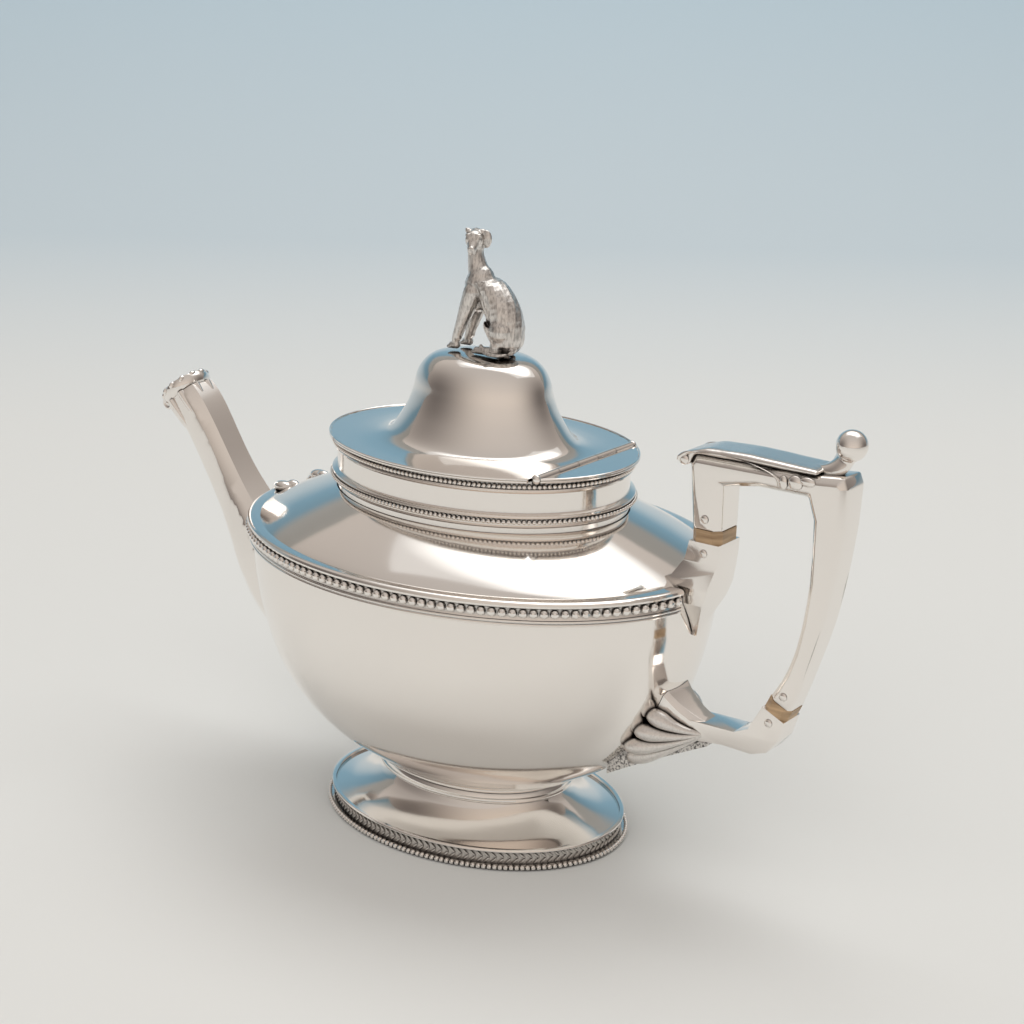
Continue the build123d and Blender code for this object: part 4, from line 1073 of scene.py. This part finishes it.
class TEAPOT_OT_studio(TeapotOperator):
    """Makes the sweep, the soft lights and the camera"""

    bl_idname = "teapot.studio"
    bl_label = "Studio"

    def execute(self, context):
        scene = context.scene
        studio = scene.teapot_studio
        back = Vector((-math.sin(VIEW_TURN), math.cos(VIEW_TURN), 0))
        side = Vector((math.cos(VIEW_TURN), math.sin(VIEW_TURN), 0))
        clear_selection()
        bpy.ops.mesh.primitive_plane_add(size=2, location=(0, 0, 0))
        sweep = started("studio_sweep")
        sweep.scale = (4.0, 2.0, 1)
        sweep.location = (0, -1.6, 0)
        bpy.ops.object.transform_apply()
        bpy.ops.object.mode_set(mode="EDIT")
        bpy.ops.mesh.select_mode(type="EDGE")
        bpy.ops.mesh.select_all(action="DESELECT")
        bpy.ops.object.mode_set(mode="OBJECT")
        for edge in sweep.data.edges:
            edge.select = all(sweep.data.vertices[v].co.y > 0.3 for v in edge.vertices)
        bpy.ops.object.mode_set(mode="EDIT")
        radius = 1.6
        steps = 24
        for step in range(steps):
            low, high = (math.pi / 2 * (step + k) / steps for k in (0, 1))
            move = (0, radius * (math.sin(high) - math.sin(low)), radius * (math.cos(low) - math.cos(high)))
            bpy.ops.mesh.extrude_region_move(TRANSFORM_OT_translate={"value": move})
        bpy.ops.mesh.extrude_region_move(TRANSFORM_OT_translate={"value": (0, 0, 0.3)})
        bpy.ops.object.mode_set(mode="OBJECT")
        sweep.rotation_euler = (0, 0, VIEW_TURN)
        settle(sweep, math.radians(60))
        shader = Shader("sweep_paper")
        where = shader.node("ShaderNodeTexCoord", output=3)
        height = shader.node("ShaderNodeSeparateXYZ", {}, [where], output=2) * 0.8
        haze = [0.6 * c + 0.4 * d for c, d in zip(studio.floor, studio.sky)]
        tone = shader.ramp(height, [
            (0.0, studio.floor), (0.05, haze), (0.22, (0.45, 0.58, 0.67)), (0.5, studio.sky),
            (0.8, studio.sky), (1.0, (0.5, 0.52, 0.52))])
        shader.set("Base Color", tone)
        shader.set("Roughness", 0.9)
        shader.surface.inputs["Specular IOR Level"].default_value = 0.1
        sweep.data.materials.append(shader.material)

        def softbox(name, place, aim, size, power, color):
            clear_selection()
            bpy.ops.object.light_add(type="AREA", location=place)
            light = bpy.context.object
            light.name = name
            light.data.shape = "RECTANGLE"
            light.data.size, light.data.size_y = size
            light.data.energy = power
            light.data.color = color
            light.rotation_euler = (Vector(aim) - Vector(place)).to_track_quat("-Z", "Y").to_euler()
            return light

        pot = (0, 0, 0.1)
        key = softbox("key_softbox", back * 0.55 + side * 0.3 + Vector((0, 0, 1.75)), pot, (1.7, 1.1),
                      studio.key_power, (1, 0.99, 0.97))
        key.visible_glossy = False
        clear_selection()
        bpy.ops.mesh.primitive_plane_add(size=1, location=key.location, rotation=key.rotation_euler)
        card = started("softbox_card")
        bpy.ops.object.mode_set(mode="EDIT")
        bpy.ops.mesh.subdivide(number_cuts=4)
        bpy.ops.object.mode_set(mode="OBJECT")
        card.scale = (2.4, 1.5, 1)
        glow = Shader("softbox_glow")
        at = glow.node("ShaderNodeTexCoord", output=3)
        reach = glow.node("ShaderNodeVectorMath", {"operation": "LENGTH"}, [at], output=1)
        glow.set("Base Color", (0, 0, 0, 1))
        glow.set("Emission Color", glow.ramp(reach, [(0.2, (1, 1, 0.98)), (0.5, (0.3, 0.29, 0.28))]))
        glow.surface.inputs["Emission Strength"].default_value = 2.5
        card.data.materials.append(glow.material)
        card.visible_diffuse = False
        card.visible_shadow = False
        fill = softbox("front_fill", -back * 1.5 - side * 0.7 + Vector((0, 0, 1.9)), pot, (2.4, 1.8),
                       studio.fill_power, (1, 0.98, 0.97))
        fill.visible_glossy = False
        air = Shader("studio_air", world=True)
        scene.world = air.material
        where = air.node("ShaderNodeTexCoord")
        height = air.node("ShaderNodeSeparateXYZ", {}, [where], output=2)
        glow = air.ramp(height, [(0.0, (0.72, 0.64, 0.57)), (1.0, (0.54, 0.5, 0.47))])
        sideways = air.node("ShaderNodeVectorMath", {"operation": "DOT_PRODUCT"}, [where, side], output=1)
        turned_away = air.node("ShaderNodeMath", {"operation": "ABSOLUTE"}, [sideways])
        shade = air.node("ShaderNodeMath", {"operation": "POWER"}, [turned_away, 3.0])
        air.set("Color", air.mix(shade, glow, (0.16, 0.14, 0.13, 1)))
        scene.view_settings.view_transform = "Standard"

        clear_selection()
        bpy.ops.object.camera_add(location=[c * MM for c in CAMERA_PLACE])
        camera = bpy.context.object
        look = (Vector(CAMERA_AIM) - Vector(CAMERA_PLACE)).to_track_quat("-Z", "Y")
        camera.rotation_euler = (look.to_matrix() @ Matrix.Rotation(math.radians(CAMERA_ROLL), 3, "Z")).to_euler()
        camera.data.lens = CAMERA_LENS
        camera.data.sensor_width = 36
        scene.camera = camera
        return {"FINISHED"}


class TEAPOT_PT_panel(bpy.types.Panel):
    bl_label = "Silver Teapot"
    bl_idname = "TEAPOT_PT_panel"
    bl_space_type = "VIEW_3D"
    bl_region_type = "UI"
    bl_category = "Teapot"

    def draw(self, context):
        for group in (context.scene.teapot_sizes, context.scene.teapot_finish, context.scene.teapot_studio):
            box = self.layout.box()
            for name in group.__annotations__:
                box.prop(group, name)
        for step in STEPS:
            self.layout.operator(step.bl_idname)


STEPS = (
    TEAPOT_OT_studio, TEAPOT_OT_foot, TEAPOT_OT_body, TEAPOT_OT_girdle, TEAPOT_OT_neck, TEAPOT_OT_lid,
    TEAPOT_OT_hound, TEAPOT_OT_spout, TEAPOT_OT_handle, TEAPOT_OT_fan, TEAPOT_OT_thumb_leaf,
    TEAPOT_OT_fixed_finish,
)
GROUPS = {
    "teapot_sizes": TEAPOT_PG_sizes,
    "teapot_finish": TEAPOT_PG_finish,
    "teapot_studio": TEAPOT_PG_studio,
}


def register():
    for name, group in GROUPS.items():
        bpy.utils.register_class(group)
        setattr(bpy.types.Scene, name, PointerProperty(type=group))
    for step in STEPS:
        bpy.utils.register_class(step)
    bpy.utils.register_class(TEAPOT_PT_panel)


def unregister():
    bpy.utils.unregister_class(TEAPOT_PT_panel)
    for step in reversed(STEPS):
        bpy.utils.unregister_class(step)
    for name, group in GROUPS.items():
        delattr(bpy.types.Scene, name)
        bpy.utils.unregister_class(group)


def main():
    register()
    for step in STEPS:
        group, name = step.bl_idname.split(".")
        getattr(getattr(bpy.ops, group), name)()
    clear_selection()


if __name__ == "__main__":
    main()
